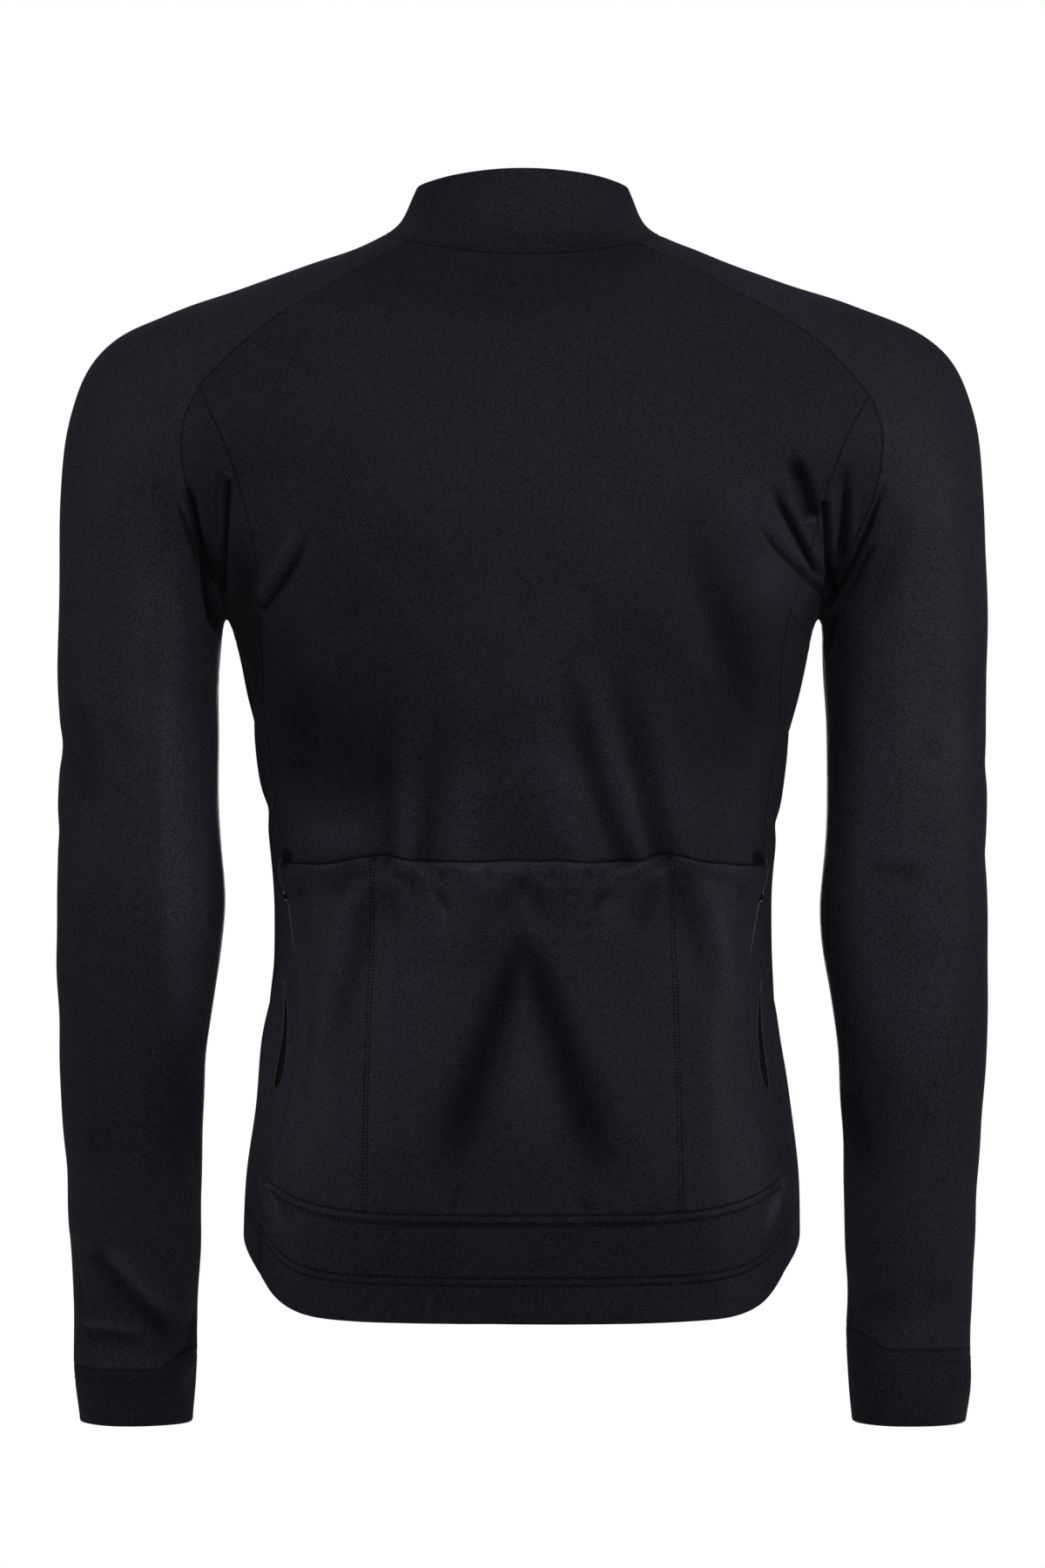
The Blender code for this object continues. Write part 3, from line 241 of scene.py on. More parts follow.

# Folds, in millimetres: start, drawing point and end as places across and up;
# width on one side and the other; flare; how much of each end fades; height.
# The height also sets each fold's painted shade where it sinks and painted light where it rises.
BACK_FOLDS = (
    # pocket: the long legs
    (1.3, -414.9, 5.3, -441.2, 54.5, -577, 4.6, 4.2, 3, 0.4, 0.24, -3.5),
    (0.8, -414.9, -6.8, -441.2, -53, -577, 4.2, 4.6, 3, 0.4, 0.24, -3.5),
    (1.3, -414.9, 1.3, -424.5, 1.3, -437.2, 3, 3, 1, 0.5, 0.5, -0.6),
    (1.3, -457.4, 1.3, -497.5, 1.3, -557.4, 18, 18, 1, 0.4, 0.5, 1.6),
    (1.3, -384.3, 8.4, -396.6, 19.6, -410.8, 5, 7, 1, 0.1, 0.4, -1.3),
    (0.8, -384.3, -5.8, -396.6, -16, -409.8, 7, 5, 1, 0.1, 0.4, -1.3),
    (1.3, -391.5, 1.3, -399.1, 1.3, -411.8, 8, 8, 1, 0.4, 0.4, 0.8),
    # pocket: round the left stitched line
    (94.2, -378.5, 103.7, -387.8, 115.3, -402.4, 7, 8, 1.3, 0.15, 0.4, -1.7),
    (93.8, -387.7, 103.7, -417.6, 113, -453.5, 6, 6, 1.2, 0.2, 0.4, 1.4),
    (89.1, -391.8, 100.5, -437.9, 113.5, -510, 5, 8, 1.3, 0.15, 0.4, -1.8),
    (131.3, -390.4, 131.4, -395.5, 130.9, -401.7, 4, 4, 1, 0.3, 0.3, -0.8),
    (124.5, -466.6, 124.9, -479.3, 123.7, -491.8, 2.5, 4, 1, 0.3, 0.3, -0.6),
    (75.7, -379.4, 66.5, -386.5, 56.2, -396.7, 5, 5, 1, 0.3, 0.4, -1.6),
    (51.6, -391.5, 47.1, -398.7, 39.4, -406.8, 2, 3, 1, 0.2, 0.4, -2),
    (81.4, -391.7, 74.7, -407, 68.5, -422.2, 4, 5, 1.2, 0.2, 0.4, -1.3),
    (47, -386.4, 45, -411.9, 52.1, -439.9, 13, 13, 1, 0.35, 0.4, 1.6),
    (35.6, -558.5, 38.6, -568.5, 41.6, -578.6, 2.5, 3, 1, 0.4, 0.2, -1.6),
    # pocket: round the right stitched line
    (-87.5, -378.5, -94.8, -402.1, -121.6, -486.7, 6, 8, 1.5, 0.12, 0.4, -1.9),
    (-100, -381.6, -113.7, -417.8, -129.3, -474.4, 8, 8, 1.2, 0.2, 0.4, 1.3),
    (-129.7, -388.3, -129.2, -395.5, -128.7, -402.7, 4, 4, 1, 0.3, 0.3, -0.8),
    (-50.6, -391.5, -44.5, -398.7, -36.4, -407.8, 3, 2, 1, 0.2, 0.4, -2),
    (-77.2, -386.6, -73.2, -404.4, -65, -422.2, 5, 4, 1.2, 0.2, 0.4, -1.3),
    (-42.5, -389.5, -49.6, -411.9, -53.7, -438.4, 12, 12, 1, 0.35, 0.4, 1.5),
    (-32, -568.5, -36, -574.5, -42.1, -579.6, 2.5, 2.5, 1, 0.3, 0.3, -1.6),
    # pocket: short gathers under the elastic
    (47.4, -379, 46.9, -383, 47.8, -389, 1.5, 1.8, 1, 0.2, 0.5, -2.2),
    (19.5, -377, 20.8, -383, 18.8, -390, 1.5, 1.8, 1, 0.2, 0.5, -2.4),
    (-15.6, -377, -18.5, -382, -20.3, -392, 1.8, 1.5, 1, 0.2, 0.5, -2.6),
    (-13.5, -377, -13.8, -381, -13.5, -386, 1.5, 1.5, 1, 0.2, 0.5, 1.2),
    (-37.8, -378, -38.6, -382, -38, -388, 1.5, 1.5, 1, 0.2, 0.5, -1.8),
    (-45.4, -379, -46.2, -383, -45, -388, 1.5, 1.5, 1, 0.2, 0.5, -1.6),
    (31, -377, 30, -384, 31.5, -392, 6, 6, 1, 0.3, 0.5, 1.2),
    (-28, -377, -28, -384, -29, -392, 6, 6, 1, 0.3, 0.5, 1.2),
    # back above the pockets
    (-24.6, -250, -28, -303, -61, -383, 7, 9, 1.1, 0.6, 0.04, -2.8),
    (-49, -248, -64.5, -310, -82, -383, 7, 9, 1.1, 0.55, 0.04, -2.8),
    (-37, -258, -46.3, -315, -72, -383, 6, 6, 1, 0.5, 0.04, 1.5),
    (-9, -285, -18, -330, -36, -383, 9, 8, 1, 0.5, 0.04, 1.3),
    (-70, -262, -80, -310, -97, -383, 10, 10, 1, 0.5, 0.05, 1.2),
    (14, -270, 12, -320, 8, -383, 16, 15, 1, 0.5, 0.04, -0.8),
    (84, -210, 98, -230, 112, -252, 10, 10, 1, 0.4, 0.4, -0.9),
    (-85.5, -159.1, -126.7, -228.9, -146.5, -320.2, 15, 17, 1, 0.35, 0.3, -2.6),
    (-93, -190, -122, -236, -139, -318, 9, 11, 1, 0.4, 0.4, -2.2),
    (142.9, -279.2, 113.4, -305, 83.5, -320.3, 24, 20, 1, 0.35, 0.35, -2),
    (37, -300, 38, -345, 40, -383, 11, 10, 1, 0.5, 0.04, 1.6),
    (66, -325, 67, -350, 69, -383, 5, 5, 1, 0.5, 0.04, 1.5),
    (50, -280, 51, -335, 57, -383, 8, 9, 0.9, 0.5, 0.04, -2.5),
    (79, -258, 80, -320, 79, -383, 8, 7, 0.8, 0.5, 0.04, -2.1),
    (150.5, -318.1, 133.8, -320.2, 114.6, -318.8, 6, 2.2, 1, 0.1, 0.4, -0.7),
    (132.7, -324.3, 127.5, -331.5, 114.9, -346.9, 3, 2.2, 1, 0.2, 0.4, -0.6),
    (107.4, -326.4, 104.8, -333.1, 101.3, -343.3, 3, 3, 1, 0.3, 0.4, -0.5),
    # under the left arm
    (205.6, -159.6, 195.4, -184.4, 181.2, -245.8, 1.2, 1.2, 1.6, 0.25, 0.06, -4),
    (194.2, -189.9, 190.7, -203.4, 185.6, -221.2, 1.3, 1.3, 1, 0.3, 0.3, 1.6),
    (196.4, -152.8, 192.8, -182.9, 181.4, -240.4, 2.8, 2.2, 1, 0.22, 0.1, -6.4),
    (176.6, -144.4, 181.8, -160.7, 178.4, -189.9, 1, 1.4, 1, 0.2, 0.25, -1.8),
    (172.5, -151.6, 174.2, -184.3, 180.5, -218.7, 1.9, 1.7, 1, 0.05, 0.1, -6.2),
    (175.8, -157, 177.1, -176.8, 177.2, -196.4, 1.2, 1.2, 1, 0.25, 0.25, 1.2),
    (186.1, -207.6, 180.3, -215.7, 179.5, -228.9, 1, 1, 1, 0.2, 0.2, 1.6),
    (157.5, -211.6, 162.7, -220.5, 170.7, -230.5, 1.3, 1.2, 1, 0.25, 0.15, -2),
    (155.6, -225.9, 161.3, -230.7, 168, -237.8, 1.2, 1.2, 1, 0.25, 0.25, 1.4),
    (121.7, -178.7, 136.6, -211, 154, -228.5, 1.6, 2.4, 1, 0.5, 0.03, -5),
    (125.8, -174.5, 141.8, -204.2, 158.3, -221.7, 3.2, 3.2, 1, 0.35, 0.12, 1),
    # under the right arm
    (-156.2, -137.5, -166.2, -151.3, -173.2, -175, 5.4, 2.4, 1.3, 0.35, 0.04, -4.6),
    (-177.6, -163.9, -181.7, -188.7, -185.6, -220.6, 2.2, 1.7, 1, 0.04, 0.1, -6.2),
    (-180.4, -150.8, -183.6, -176.4, -187.4, -202.6, 1.1, 1.1, 1, 0.25, 0.25, 1.8),
    (-189.7, -136.5, -190.9, -171.2, -188.8, -203.2, 2.4, 2.4, 1, 0.45, 0.25, -4.4),
    (-196.5, -156.2, -197.5, -176, -193.4, -195.9, 2.4, 2.4, 1, 0.3, 0.3, 1.2),
    (-215.2, -148.4, -201.5, -189.6, -182.5, -226.1, 1.3, 1.6, 1.3, 0.35, 0.05, -5.6),
    (-208.8, -185.3, -201.2, -200.3, -190.2, -223.1, 1.6, 2.4, 1, 0.35, 0.15, -3),
    (-205.5, -171.1, -198, -187, -188, -207.8, 2, 2, 1, 0.3, 0.3, 1),
    (-228.9, -161, -216, -201.8, -197.2, -247.8, 6, 8, 1, 0.4, 0.4, -1),
    (-143.3, -154.5, -157.2, -177.6, -176.3, -207.8, 2.8, 3.6, 0.6, 0.4, 0.05, -5),
    (-148.5, -157.9, -162, -178.4, -177.7, -202.2, 2.6, 2.6, 0.8, 0.35, 0.2, 1.2),
    (-136.7, -178.3, -153, -201.3, -182, -217.2, 1.2, 1.7, 1.6, 0.3, 0.06, -4.4),
    (-141.9, -174.1, -159.4, -197.5, -181.3, -211.6, 2.2, 2.2, 1, 0.35, 0.2, 1),
    (-186.9, -228.6, -183.8, -239.8, -182.7, -255.2, 1.8, 1.8, 1, 0.15, 0.3, -4),
    (-192, -225.8, -190.1, -230.4, -188.3, -235.5, 1.1, 1.1, 1, 0.3, 0.3, -1.8),
    # left sleeve
    (267.4, -278.7, 260.5, -304.7, 248.4, -330.5, 5, 7, 1, 0.3, 0.4, -1.2),
    (245.3, -289.3, 237.9, -304.8, 228.1, -324.3, 5, 7, 1, 0.3, 0.4, -1),
    (271, -309.8, 262.7, -330.5, 251.7, -351.1, 6, 8, 1, 0.3, 0.4, -1.2),
    (216.5, -514.3, 205.3, -540.8, 200.1, -582.3, 4, 4, 1, 0.3, 0.3, 1.2),
    (213.6, -519.8, 210.1, -540.4, 203.2, -573.6, 4, 5, 1, 0.3, 0.3, -0.9),
    (258.7, -526.7, 255.1, -550.7, 248.2, -572.1, 7, 8, 1, 0.35, 0.4, -1),
    (266, -610, 244.9, -637.6, 207.1, -674.2, 5, 7, 1, 0.2, 0.25, -2.4),
    (255.8, -607.2, 234.1, -632, 206.3, -659.2, 6, 7, 1, 0.25, 0.3, 1.7),
    (274.3, -601.3, 274.1, -628.8, 267.9, -663.2, 5, 4, 1, 0.3, 0.2, -1.2),
    (272.9, -665.7, 255.6, -667.2, 227.8, -668.7, 3, 4, 1, 0.15, 0.3, -2),
    (274, -658.7, 253.1, -658.8, 223.5, -663.3, 4, 4, 1, 0.2, 0.3, 1.6),
    (267.4, -682, 239.8, -680.7, 215.9, -683.8, 6, 5, 1, 0.2, 0.2, 1.4),
    (200, -652.6, 202.7, -667.9, 207.8, -681.4, 3, 4, 1, 0.2, 0.1, -1.6),
    (198.2, -661.9, 205.9, -684, 212.4, -707.6, 3, 4, 1, 0.1, 0.3, 1.4),
    # right sleeve
    (-198.2, -380.1, -217.1, -387.1, -240.7, -383, 8, 10, 1, 0.3, 0.35, -1.7),
    (-206, -371.7, -221, -377.8, -241.7, -373.7, 6, 6, 1, 0.3, 0.4, 0.9),
    (-232.7, -311, -239.4, -316.1, -251.1, -309.9, 6, 8, 1, 0.3, 0.4, -0.8),
    (-198.4, -514.5, -200.7, -530.4, -209.3, -564.8, 4, 5, 1, 0.15, 0.4, -1.6),
    (-204.8, -639.4, -217.5, -649.2, -238.2, -645.2, 8, 8, 1, 0.3, 0.4, -0.8),
    (-254, -635.1, -257, -643.5, -265.7, -649.7, 6, 6, 1, 0.3, 0.4, -0.7),
    # hem: its two corners
    (155.6, -561, 152.3, -578, 145.5, -598, 1.9, 1.9, 1, 0.2, 0.3, 2.6),
    (151.3, -563, 148, -577, 141.5, -599, 1.8, 1.8, 1, 0.2, 0.3, 2.2),
    (-155.4, -561, -150, -577, -144, -594, 1.9, 1.9, 1, 0.2, 0.3, 2.6),
    (-151.5, -571, -146, -583, -141.5, -598, 1.8, 1.8, 1, 0.2, 0.3, 2.2),
)
FRONT_FOLDS = (
    # from the armholes over the chest
    (160, -112, 128, -150, 112, -205, 12, 9, 1.3, 0.2, 0.4, -2.6),
    (150, -128, 138, -168, 138, -226, 8, 8, 1.2, 0.2, 0.4, 1.5),
    (-158, -116, -124, -158, -116, -212, 10, 11, 1.3, 0.2, 0.4, -2.4),
    (-150, -132, -142, -172, -144, -222, 8, 8, 1.2, 0.2, 0.4, 1.4),
    (183, -132, 178, -165, 176, -205, 4, 4, 1, 0.2, 0.2, -2.6),
    (-183, -135, -179, -168, -177, -207, 4, 4, 1, 0.2, 0.2, -2.7),
    (172, -140, 160, -176, 150, -224, 4, 5, 1, 0.2, 0.2, -1.8),
    (177, -150, 158, -172, 138, -182, 5, 4, 1.3, 0.15, 0.4, -2.6),
    (172, -174, 152, -192, 128, -198, 4, 5, 1.3, 0.15, 0.4, -2.1),
    (170, -198, 150, -210, 131, -209, 4, 4, 1.3, 0.15, 0.4, -1.6),
    (190, -176, 206, -189, 222, -185, 4, 4, 1.3, 0.15, 0.4, -2.2),
    (-177, -158, -160, -178, -144, -187, 4, 4, 1.3, 0.15, 0.4, -2.1),
    (-172, -183, -150, -201, -130, -206, 5, 4, 1.3, 0.15, 0.4, -2.4),
    (-192, -182, -208, -197, -226, -195, 4, 4, 1.3, 0.15, 0.4, -1.9),
    (-189, -164, -203, -173, -214, -170, 4, 4, 1.3, 0.15, 0.4, -1.5),
    (-173, -143, -163, -180, -152, -222, 4, 5, 1, 0.2, 0.2, -1.7),
    # round the waist and over the belly
    (142, -300, 96, -330, 40, -338, 12, 10, 1, 0.3, 0.5, -2.0),
    (-144, -294, -104, -318, -52, -330, 11, 11, 1, 0.3, 0.5, -1.8),
    (138, -345, 88, -362, 30, -368, 10, 12, 1, 0.3, 0.5, -1.5),
    (-136, -352, -92, -374, -38, -376, 11, 10, 1, 0.3, 0.5, -1.6),
    (126, -388, 84, -410, 34, -412, 9, 9, 1, 0.3, 0.5, 1.0),
    (-130, -396, -80, -412, -30, -418, 9, 9, 1, 0.3, 0.5, 1.0),
    (16, -318, 20, -348, 14, -384, 7, 7, 1, 0.3, 0.4, -1.2),
    (-14, -402, -18, -440, -12, -476, 7, 7, 1, 0.3, 0.4, -1.1),
    (60, -560, 54, -520, 58, -470, 12, 12, 1, 0.2, 0.5, 1.4),
    (-66, -562, -58, -524, -64, -480, 12, 12, 1, 0.2, 0.5, 1.3),
    (112, -566, 108, -520, 116, -474, 10, 10, 1, 0.2, 0.5, -1.3),
    (-110, -566, -104, -526, -114, -486, 10, 10, 1, 0.2, 0.5, -1.2),
    # sleeves: the bend of the elbow and the wrists
    (216, -322, 236, -338, 262, -330, 7, 9, 1, 0.2, 0.3, -2.6),
    (212, -346, 234, -356, 258, -352, 6, 7, 1, 0.2, 0.3, -2.2),
    (214, -334, 234, -346, 258, -341, 5, 5, 1, 0.2, 0.3, 1.4),
    (208, -374, 228, -382, 254, -372, 7, 8, 1, 0.2, 0.3, -1.8),
    (-214, -330, -236, -344, -260, -334, 7, 9, 1, 0.2, 0.3, -2.5),
    (-210, -354, -232, -362, -256, -356, 6, 7, 1, 0.2, 0.3, -2.1),
    (-212, -342, -234, -353, -257, -345, 5, 5, 1, 0.2, 0.3, 1.3),
    (-208, -386, -228, -392, -250, -382, 7, 8, 1, 0.2, 0.3, -1.6),
    (208, -590, 232, -602, 258, -596, 6, 7, 1, 0.25, 0.3, -1.6),
    (210, -634, 236, -650, 262, -640, 6, 7, 1, 0.25, 0.3, -2.0),
    (-206, -600, -230, -610, -256, -604, 6, 7, 1, 0.25, 0.3, -1.5),
    (-208, -640, -234, -652, -258, -646, 6, 7, 1, 0.25, 0.3, -1.8),
    (236, -214, 222, -244, 212, -286, 9, 7, 1, 0.3, 0.3, -2.2),
    (-236, -220, -222, -250, -214, -292, 9, 7, 1, 0.3, 0.3, -2.0),
)
LEFT_ARM_FOLDS = (
    (30, -300, 4, -318, -24, -312, 8, 9, 1, 0.3, 0.3, -1.4),
    (26, -352, 0, -366, -28, -356, 8, 8, 1, 0.3, 0.3, -1.2),
    (24, -640, 0, -652, -26, -640, 7, 7, 1, 0.3, 0.3, -1.4),
    (22, -668, -2, -676, -26, -668, 5, 5, 1, 0.3, 0.3, -1.2),
)
RIGHT_ARM_FOLDS = (
    (28, -312, 2, -328, -26, -318, 8, 9, 1, 0.3, 0.3, -1.3),
    (24, -366, -2, -380, -28, -368, 8, 8, 1, 0.3, 0.3, -1.2),
    (22, -636, 0, -646, -26, -636, 7, 7, 1, 0.3, 0.3, -1.3),
)
LEFT_SIDE_FOLDS = (
    (40, -262, 6, -300, -30, -316, 9, 9, 1, 0.3, 0.3, -1.8),
    (46, -330, 10, -348, -28, -350, 9, 9, 1, 0.3, 0.3, -1.5),
    (30, -420, 4, -450, -24, -500, 9, 9, 1, 0.3, 0.3, -1.2),
)
RIGHT_SIDE_FOLDS = (
    (40, -270, 6, -304, -30, -324, 9, 9, 1, 0.3, 0.3, -1.8),
    (44, -340, 8, -356, -28, -360, 9, 9, 1, 0.3, 0.3, -1.4),
    (28, -430, 2, -462, -26, -508, 9, 9, 1, 0.3, 0.3, -1.2),
)
# What each view shows: its axis across, the axis it looks along and which way, how far
# aside its cloth begins and ends, and its folds.
VIEWS = {
    "back": (0, 1, 1, -0.1, 0.9, BACK_FOLDS),
    "front": (0, 1, -1, -0.1, 0.9, FRONT_FOLDS),
    "left arm": (1, 0, 1, 0.200, 0.9, LEFT_ARM_FOLDS),
    "right arm": (1, 0, -1, 0.200, 0.9, RIGHT_ARM_FOLDS),
    "left side": (1, 0, 1, -0.1, 0.186, LEFT_SIDE_FOLDS),
    "right side": (1, 0, -1, -0.1, 0.186, RIGHT_SIDE_FOLDS),
}
FACING_FADE = (0.0, 0.16)  # a fold fades out where the cloth turns from its view
SIDE_FADE = 0.006  # and this far either side of the view's own limits
FOLD_STEP = 0.0006  # between the places along a fold

# Painted light and shade on the back, with no height: middle, half sizes and strength, in mm.
# Below nought is painted shade, as in the dark pocket mouths; above nought, painted light.
PAINTED_LIGHT_AND_SHADE = (
    (165.3, -211.2, 9, 22, -2.8), (168.7, -227.1, 7, 16, -2.4), (163.2, -255, 10, 34, -3.2),
    (112, -300, 34, 42, -1), (143, -286, 22, 54, -1.4), (163, -243, 9, 26, -1.8),
    (90, -329, 13, 17, -1), (-124, -272, 16, 50, -0.7), (-178.3, -231.8, 12, 18, -1.4),
    (140.1, -374.5, 3.1, 4.6, -9), (-139.5, -374.5, 3.1, 4.6, -9), (199, -330, 15, 175, 3),
    (222, -255, 15, 110, 0.5), (112, -485, 52, 140, 1.3), (143, -485, 20, 150, 0.8),
    (149, -180, 32, 28, 0.8), (-145, -192, 40, 42, 1.5), (-40, -290, 50, 60, 0.6),
    (105, -322, 26, 22, -0.8), (112, -362, 28, 10, 1.1), (-131, -480, 22, 155, 1.2),
    (-103, -425, 16, 34, 0.7), (-226, -390, 44, 245, 1.1), (-205, -400, 14, 160, 0.8),
    (-240, -682, 36, 32, 1), (8, -30, 100, 30, -0.9), (-50, -14, 30, 14, -0.9),
    (0, -382, 134, 8, 0.9), (62, -438, 24, 60, 1.1), (148, -520, 9, 62, 0.8),
    (-240, -465, 30, 60, 0.6), (45.1, -584.1, 18, 1.8, -1.2), (-57.8, -584.8, 16, 1.8, -1),
    (0.3, -602.6, 92, 24, -0.5), (0, -344, 118, 36, 1.3), (0, -384, 62, 10, 1),
    (0, -265, 45, 55, 0.5),
)
RIPPLES = (  # length, height, direction and phase of each slow wave
    (0.094, 0.00034, 1.0, 0.3, 0.45, 0.4), (0.071, 0.00026, -0.4, 0.7, 1.0, 1.9),
    (0.058, 0.00022, 1.0, -0.5, -0.8, 3.1), (0.047, 0.00018, 0.2, 1.0, -0.7, 5.2),
    (0.112, 0.00038, -0.7, 0.2, 1.0, 2.6), (0.038, 0.00012, 0.9, 0.4, 0.9, 0.9),
    (0.029, 0.00009, -0.8, 0.9, 0.6, 4.4),
)

# Sewn edges and lines. Each piece's top, bottom, first and last edge: the strength of its
# tucks where it is sewn, or turned, or nothing where it is only a tip.
TURNED = "turned"
EDGES = {
    "back_panel": (1, TURNED, 1, 1),
    "front": (1, TURNED, TURNED, 1),
    "side": (1, TURNED, 1, 1),
    "gusset": (None, None, 1, 1),
    "sleeve": (1, 1.6, 1, 1),
    "cuff": (1.6, TURNED, 0, 0),
    "collar": (1, TURNED, TURNED, TURNED),
}
SEAM_TUCK = 2.0e-4
CLOTH_THICKNESS = 0.0012
SEAM_DEPTH = 0.00012
SEAM_WIDTH = 0.00055
SEAM_PUFF = 0.00008
SEAM_LAP = 0.00002  # each piece runs this far past its seam, so none gapes
TURN_DEPTH = 0.0009
TURN_WIDTH = 0.0013
STITCH_GROOVE = 0.00035
STITCH_GROOVE_WIDTH = 0.0006
PAINTED_SEAM_SHADE = -3.2  # painted shade along each sewn edge and stitched line, as in its groove
PAINTED_SEAM_SHADE_WIDTH = 0.00065
PAINTED_MOUTH_SHADOW = -4.5  # painted shadow along the pocket's open top, on the back
PAINTED_MOUTH_SHADOW_WIDTH = 0.0009
HEM_PUFF = 0.00035
POCKET_FULLNESS = 0.0024
ELASTIC_HEIGHT = 0.0009
COLLAR_LINE = 0.0022  # collar topstitch above the seam

# Stitched lines, bindings and zips.
ZIP_LINE = 0.0050  # topstitch beside the zip, from the front's edge
TWIN_PITCH = 0.00215  # of the two stitched rows down between the pockets
TWIN_HALF_WIDTH = 0.00115
TWIN_SPAN = (-0.3745, -0.5795)
BAR_HEIGHTS = (-0.3726, -0.3742)
STITCH_SHARE = 0.55  # of the pitch, for the length of a stitch
ZIP_LINE_ROW = 120  # the row of a front that the zip's topstitch is measured on
BINDING_RADIUS = 0.0007
BINDING_END = -0.4400
COLLAR_THICKNESS = 0.0016
SIDE_ZIP = (  # middle of the slit, as places across and up
    (0.142, -0.447), (0.1412, -0.456), (0.1407, -0.468), (0.1408, -0.48), (0.142, -0.494),
    (0.144, -0.506), (0.1452, -0.511),
)
SLIT_HALF_WIDTH = ((0, 0.0003), (0.12, 0.0005), (0.3, 0.0012), (0.5, 0.0017), (0.8, 0.0024),
                   (0.95, 0.0019), (1.0, 0.0005))
SLIT_RIM = 0.0003
TAB_Z = -0.3975
TAB_SIZE = (0.0056, 0.0022)
SPECK_SIZE = (0.0011, 0.00045, 0.0004)
PIN_OUT = 0.0036  # the pull's pin above the form at the slider
PLATE_Y = 0.0021  # middle of the slider behind the pin
PULL_LENGTH = 0.0240
PULL_NECK_HALF = 0.0014
PULL_GRIP_HALF = 0.0032
PULL_SHOULDER = (0.0060, 0.0100)
PULL_HOLE = (-0.0188, 0.0013, 0.0022)  # place, half width and half height
PULL_LEAN = math.radians(3.5)

# Stage.
CAMERA_PLACE = (0.0, 2.632, -0.3305)
FLOOR_Z = -1.45
FLOOR_HALF = 1.8
LAMPS = (  # name, place, aim, size, power and spread in degrees
    ("key", (-0.7, 3.0, 0.85), (0.0, 0.0, 0.12), (4.6, 0.9), 7.2, 60),
    ("behind_camera", (0.0, 4.2, 0.4), (0.0, 0.0, 0.10), (3.0, 2.5), 1.1, 60),
    ("top", (0.0, 0.7, 2.0), (0.0, 0.0, -0.35), (2.6, 1.0), 8, 180),
    ("left", (2.8, 1.1, 0.35), (0.0, 0.0, -0.2), (1.5, 1.6), 14, 180),
    ("right", (-2.8, 1.1, 0.35), (0.0, 0.0, -0.2), (1.5, 1.6), 20, 180),
    ("front", (0.0, -3.4, -0.25), (0.0, 0.0, -0.3), (0.8, 0.8), 42, 180),
)



# --- Small helpers ---

def ramp(value, start, end):
    """0 at start, 1 at end, with a smooth slope between."""
    t = np.clip((value - start) / (end - start), 0, 1)
    return t * t * (3 - 2 * t)


def bell(distance, width):
    """1 at no distance, falling smoothly to nought over a few widths."""
    return np.exp(-(distance / width) ** 2)


def unit(vectors):
    """The same directions, of length one."""
    return vectors / np.linalg.norm(vectors, axis=-1, keepdims=True)


def xyz(x, y, z):
    """Points from coordinates that broadcast together."""
    return np.stack(np.broadcast_arrays(x, y, z), axis=-1)


def nearest(values, value):
    """Index of the value that comes closest."""
    return int(np.argmin(np.abs(values - value)))


# --- The form ---

class Profile:
    """Named columns against a first one: a natural cubic spline, kept as close steps."""

    def __init__(self, columns, rows, steps=4001):
        table = np.array(sorted(tuple(row) for row in rows))
        at = table[:, 0]
        self.at = np.linspace(at[0], at[-1], steps)
        self.values = {name: self.spline(at, values, self.at)
                       for name, values in zip(columns[1:], table[:, 1:].T)}

    @staticmethod
    def spline(at, values, where):
        """The spline through the values: second derivatives solved for, nought at the ends."""
        step = np.diff(at)
        system = np.eye(len(values))
        for row in range(1, len(values) - 1):
            before, after = step[row - 1:row + 1]
            system[row, row - 1:row + 2] = before, 2 * (before + after), after
        right = np.zeros(len(values))
        right[1:-1] = 6 * np.diff(np.diff(values) / step)
        bends = np.linalg.solve(system, right)
        low = np.clip(np.searchsorted(at, where) - 1, 0, len(at) - 2)
        up = (where - at[low]) / step[low]
        down = 1 - up
        line = down * values[low] + up * values[low + 1]
        bow = (down ** 3 - down) * bends[low] + (up ** 3 - up) * bends[low + 1]
        return line + bow * step[low] ** 2 / 6

    def read(self, name, at):
        """The column's value at each place, held level beyond the first and last rows."""
        return np.interp(at, self.at, self.values[name])


OUTLINE = Profile(OUTLINE_COLUMNS, OUTLINE_ROWS)
DEPTH = Profile(DEPTH_COLUMNS, DEPTH_ROWS)
BODY = Profile(BODY_COLUMNS, BODY_ROWS)
SLEEVE = Profile(SLEEVE_COLUMNS, SLEEVE_ROWS)


def oval(across, along, half_across, half_along, power):
    """Distance outside the oval |x/a|^p + |y/b|^p = 1, true to first order near it."""
    u = np.abs(across) / half_across + 1e-9
    v = np.abs(along) / half_along + 1e-9
    radius = (u ** power + v ** power) ** (1 / power)
    slope = np.hypot(u ** (power - 1) / half_across, v ** (power - 1) / half_along)
    return (radius - 1) / (slope * radius ** (1 - power))


def trunk_form(points, widths, depths):
    """The same measure for an oval round the trunk, from its widths and its depths."""
    x, y, z = np.abs(points[..., 0]), points[..., 1], points[..., 2]
    back, front = depths.read("back", z), depths.read("front", z)
    return oval(x, y - (back - front) / 2, widths.read("half_width", z), (back + front) / 2,
                depths.read("power", z))


def sleeve_form(points):
    """The same measure for one sleeve alone, both sides alike."""
    x, y, z = np.abs(points[..., 0]), points[..., 1], points[..., 2]
    inner, outer = SLEEVE.read("inner", z), SLEEVE.read("outer", z)
    return oval(x - (inner + outer) / 2, y - SLEEVE.read("middle", z), (outer - inner) / 2,
                SLEEVE.read("half_depth", z), SLEEVE_POWER)


def below_shoulders(points, low):
    """The oval across both shoulders, which turns into a lower form further down."""
    parted = ramp(points[..., 2], *SHOULDER_BLEND)
    return (1 - parted) * trunk_form(points, OUTLINE, DEPTH) + parted * low


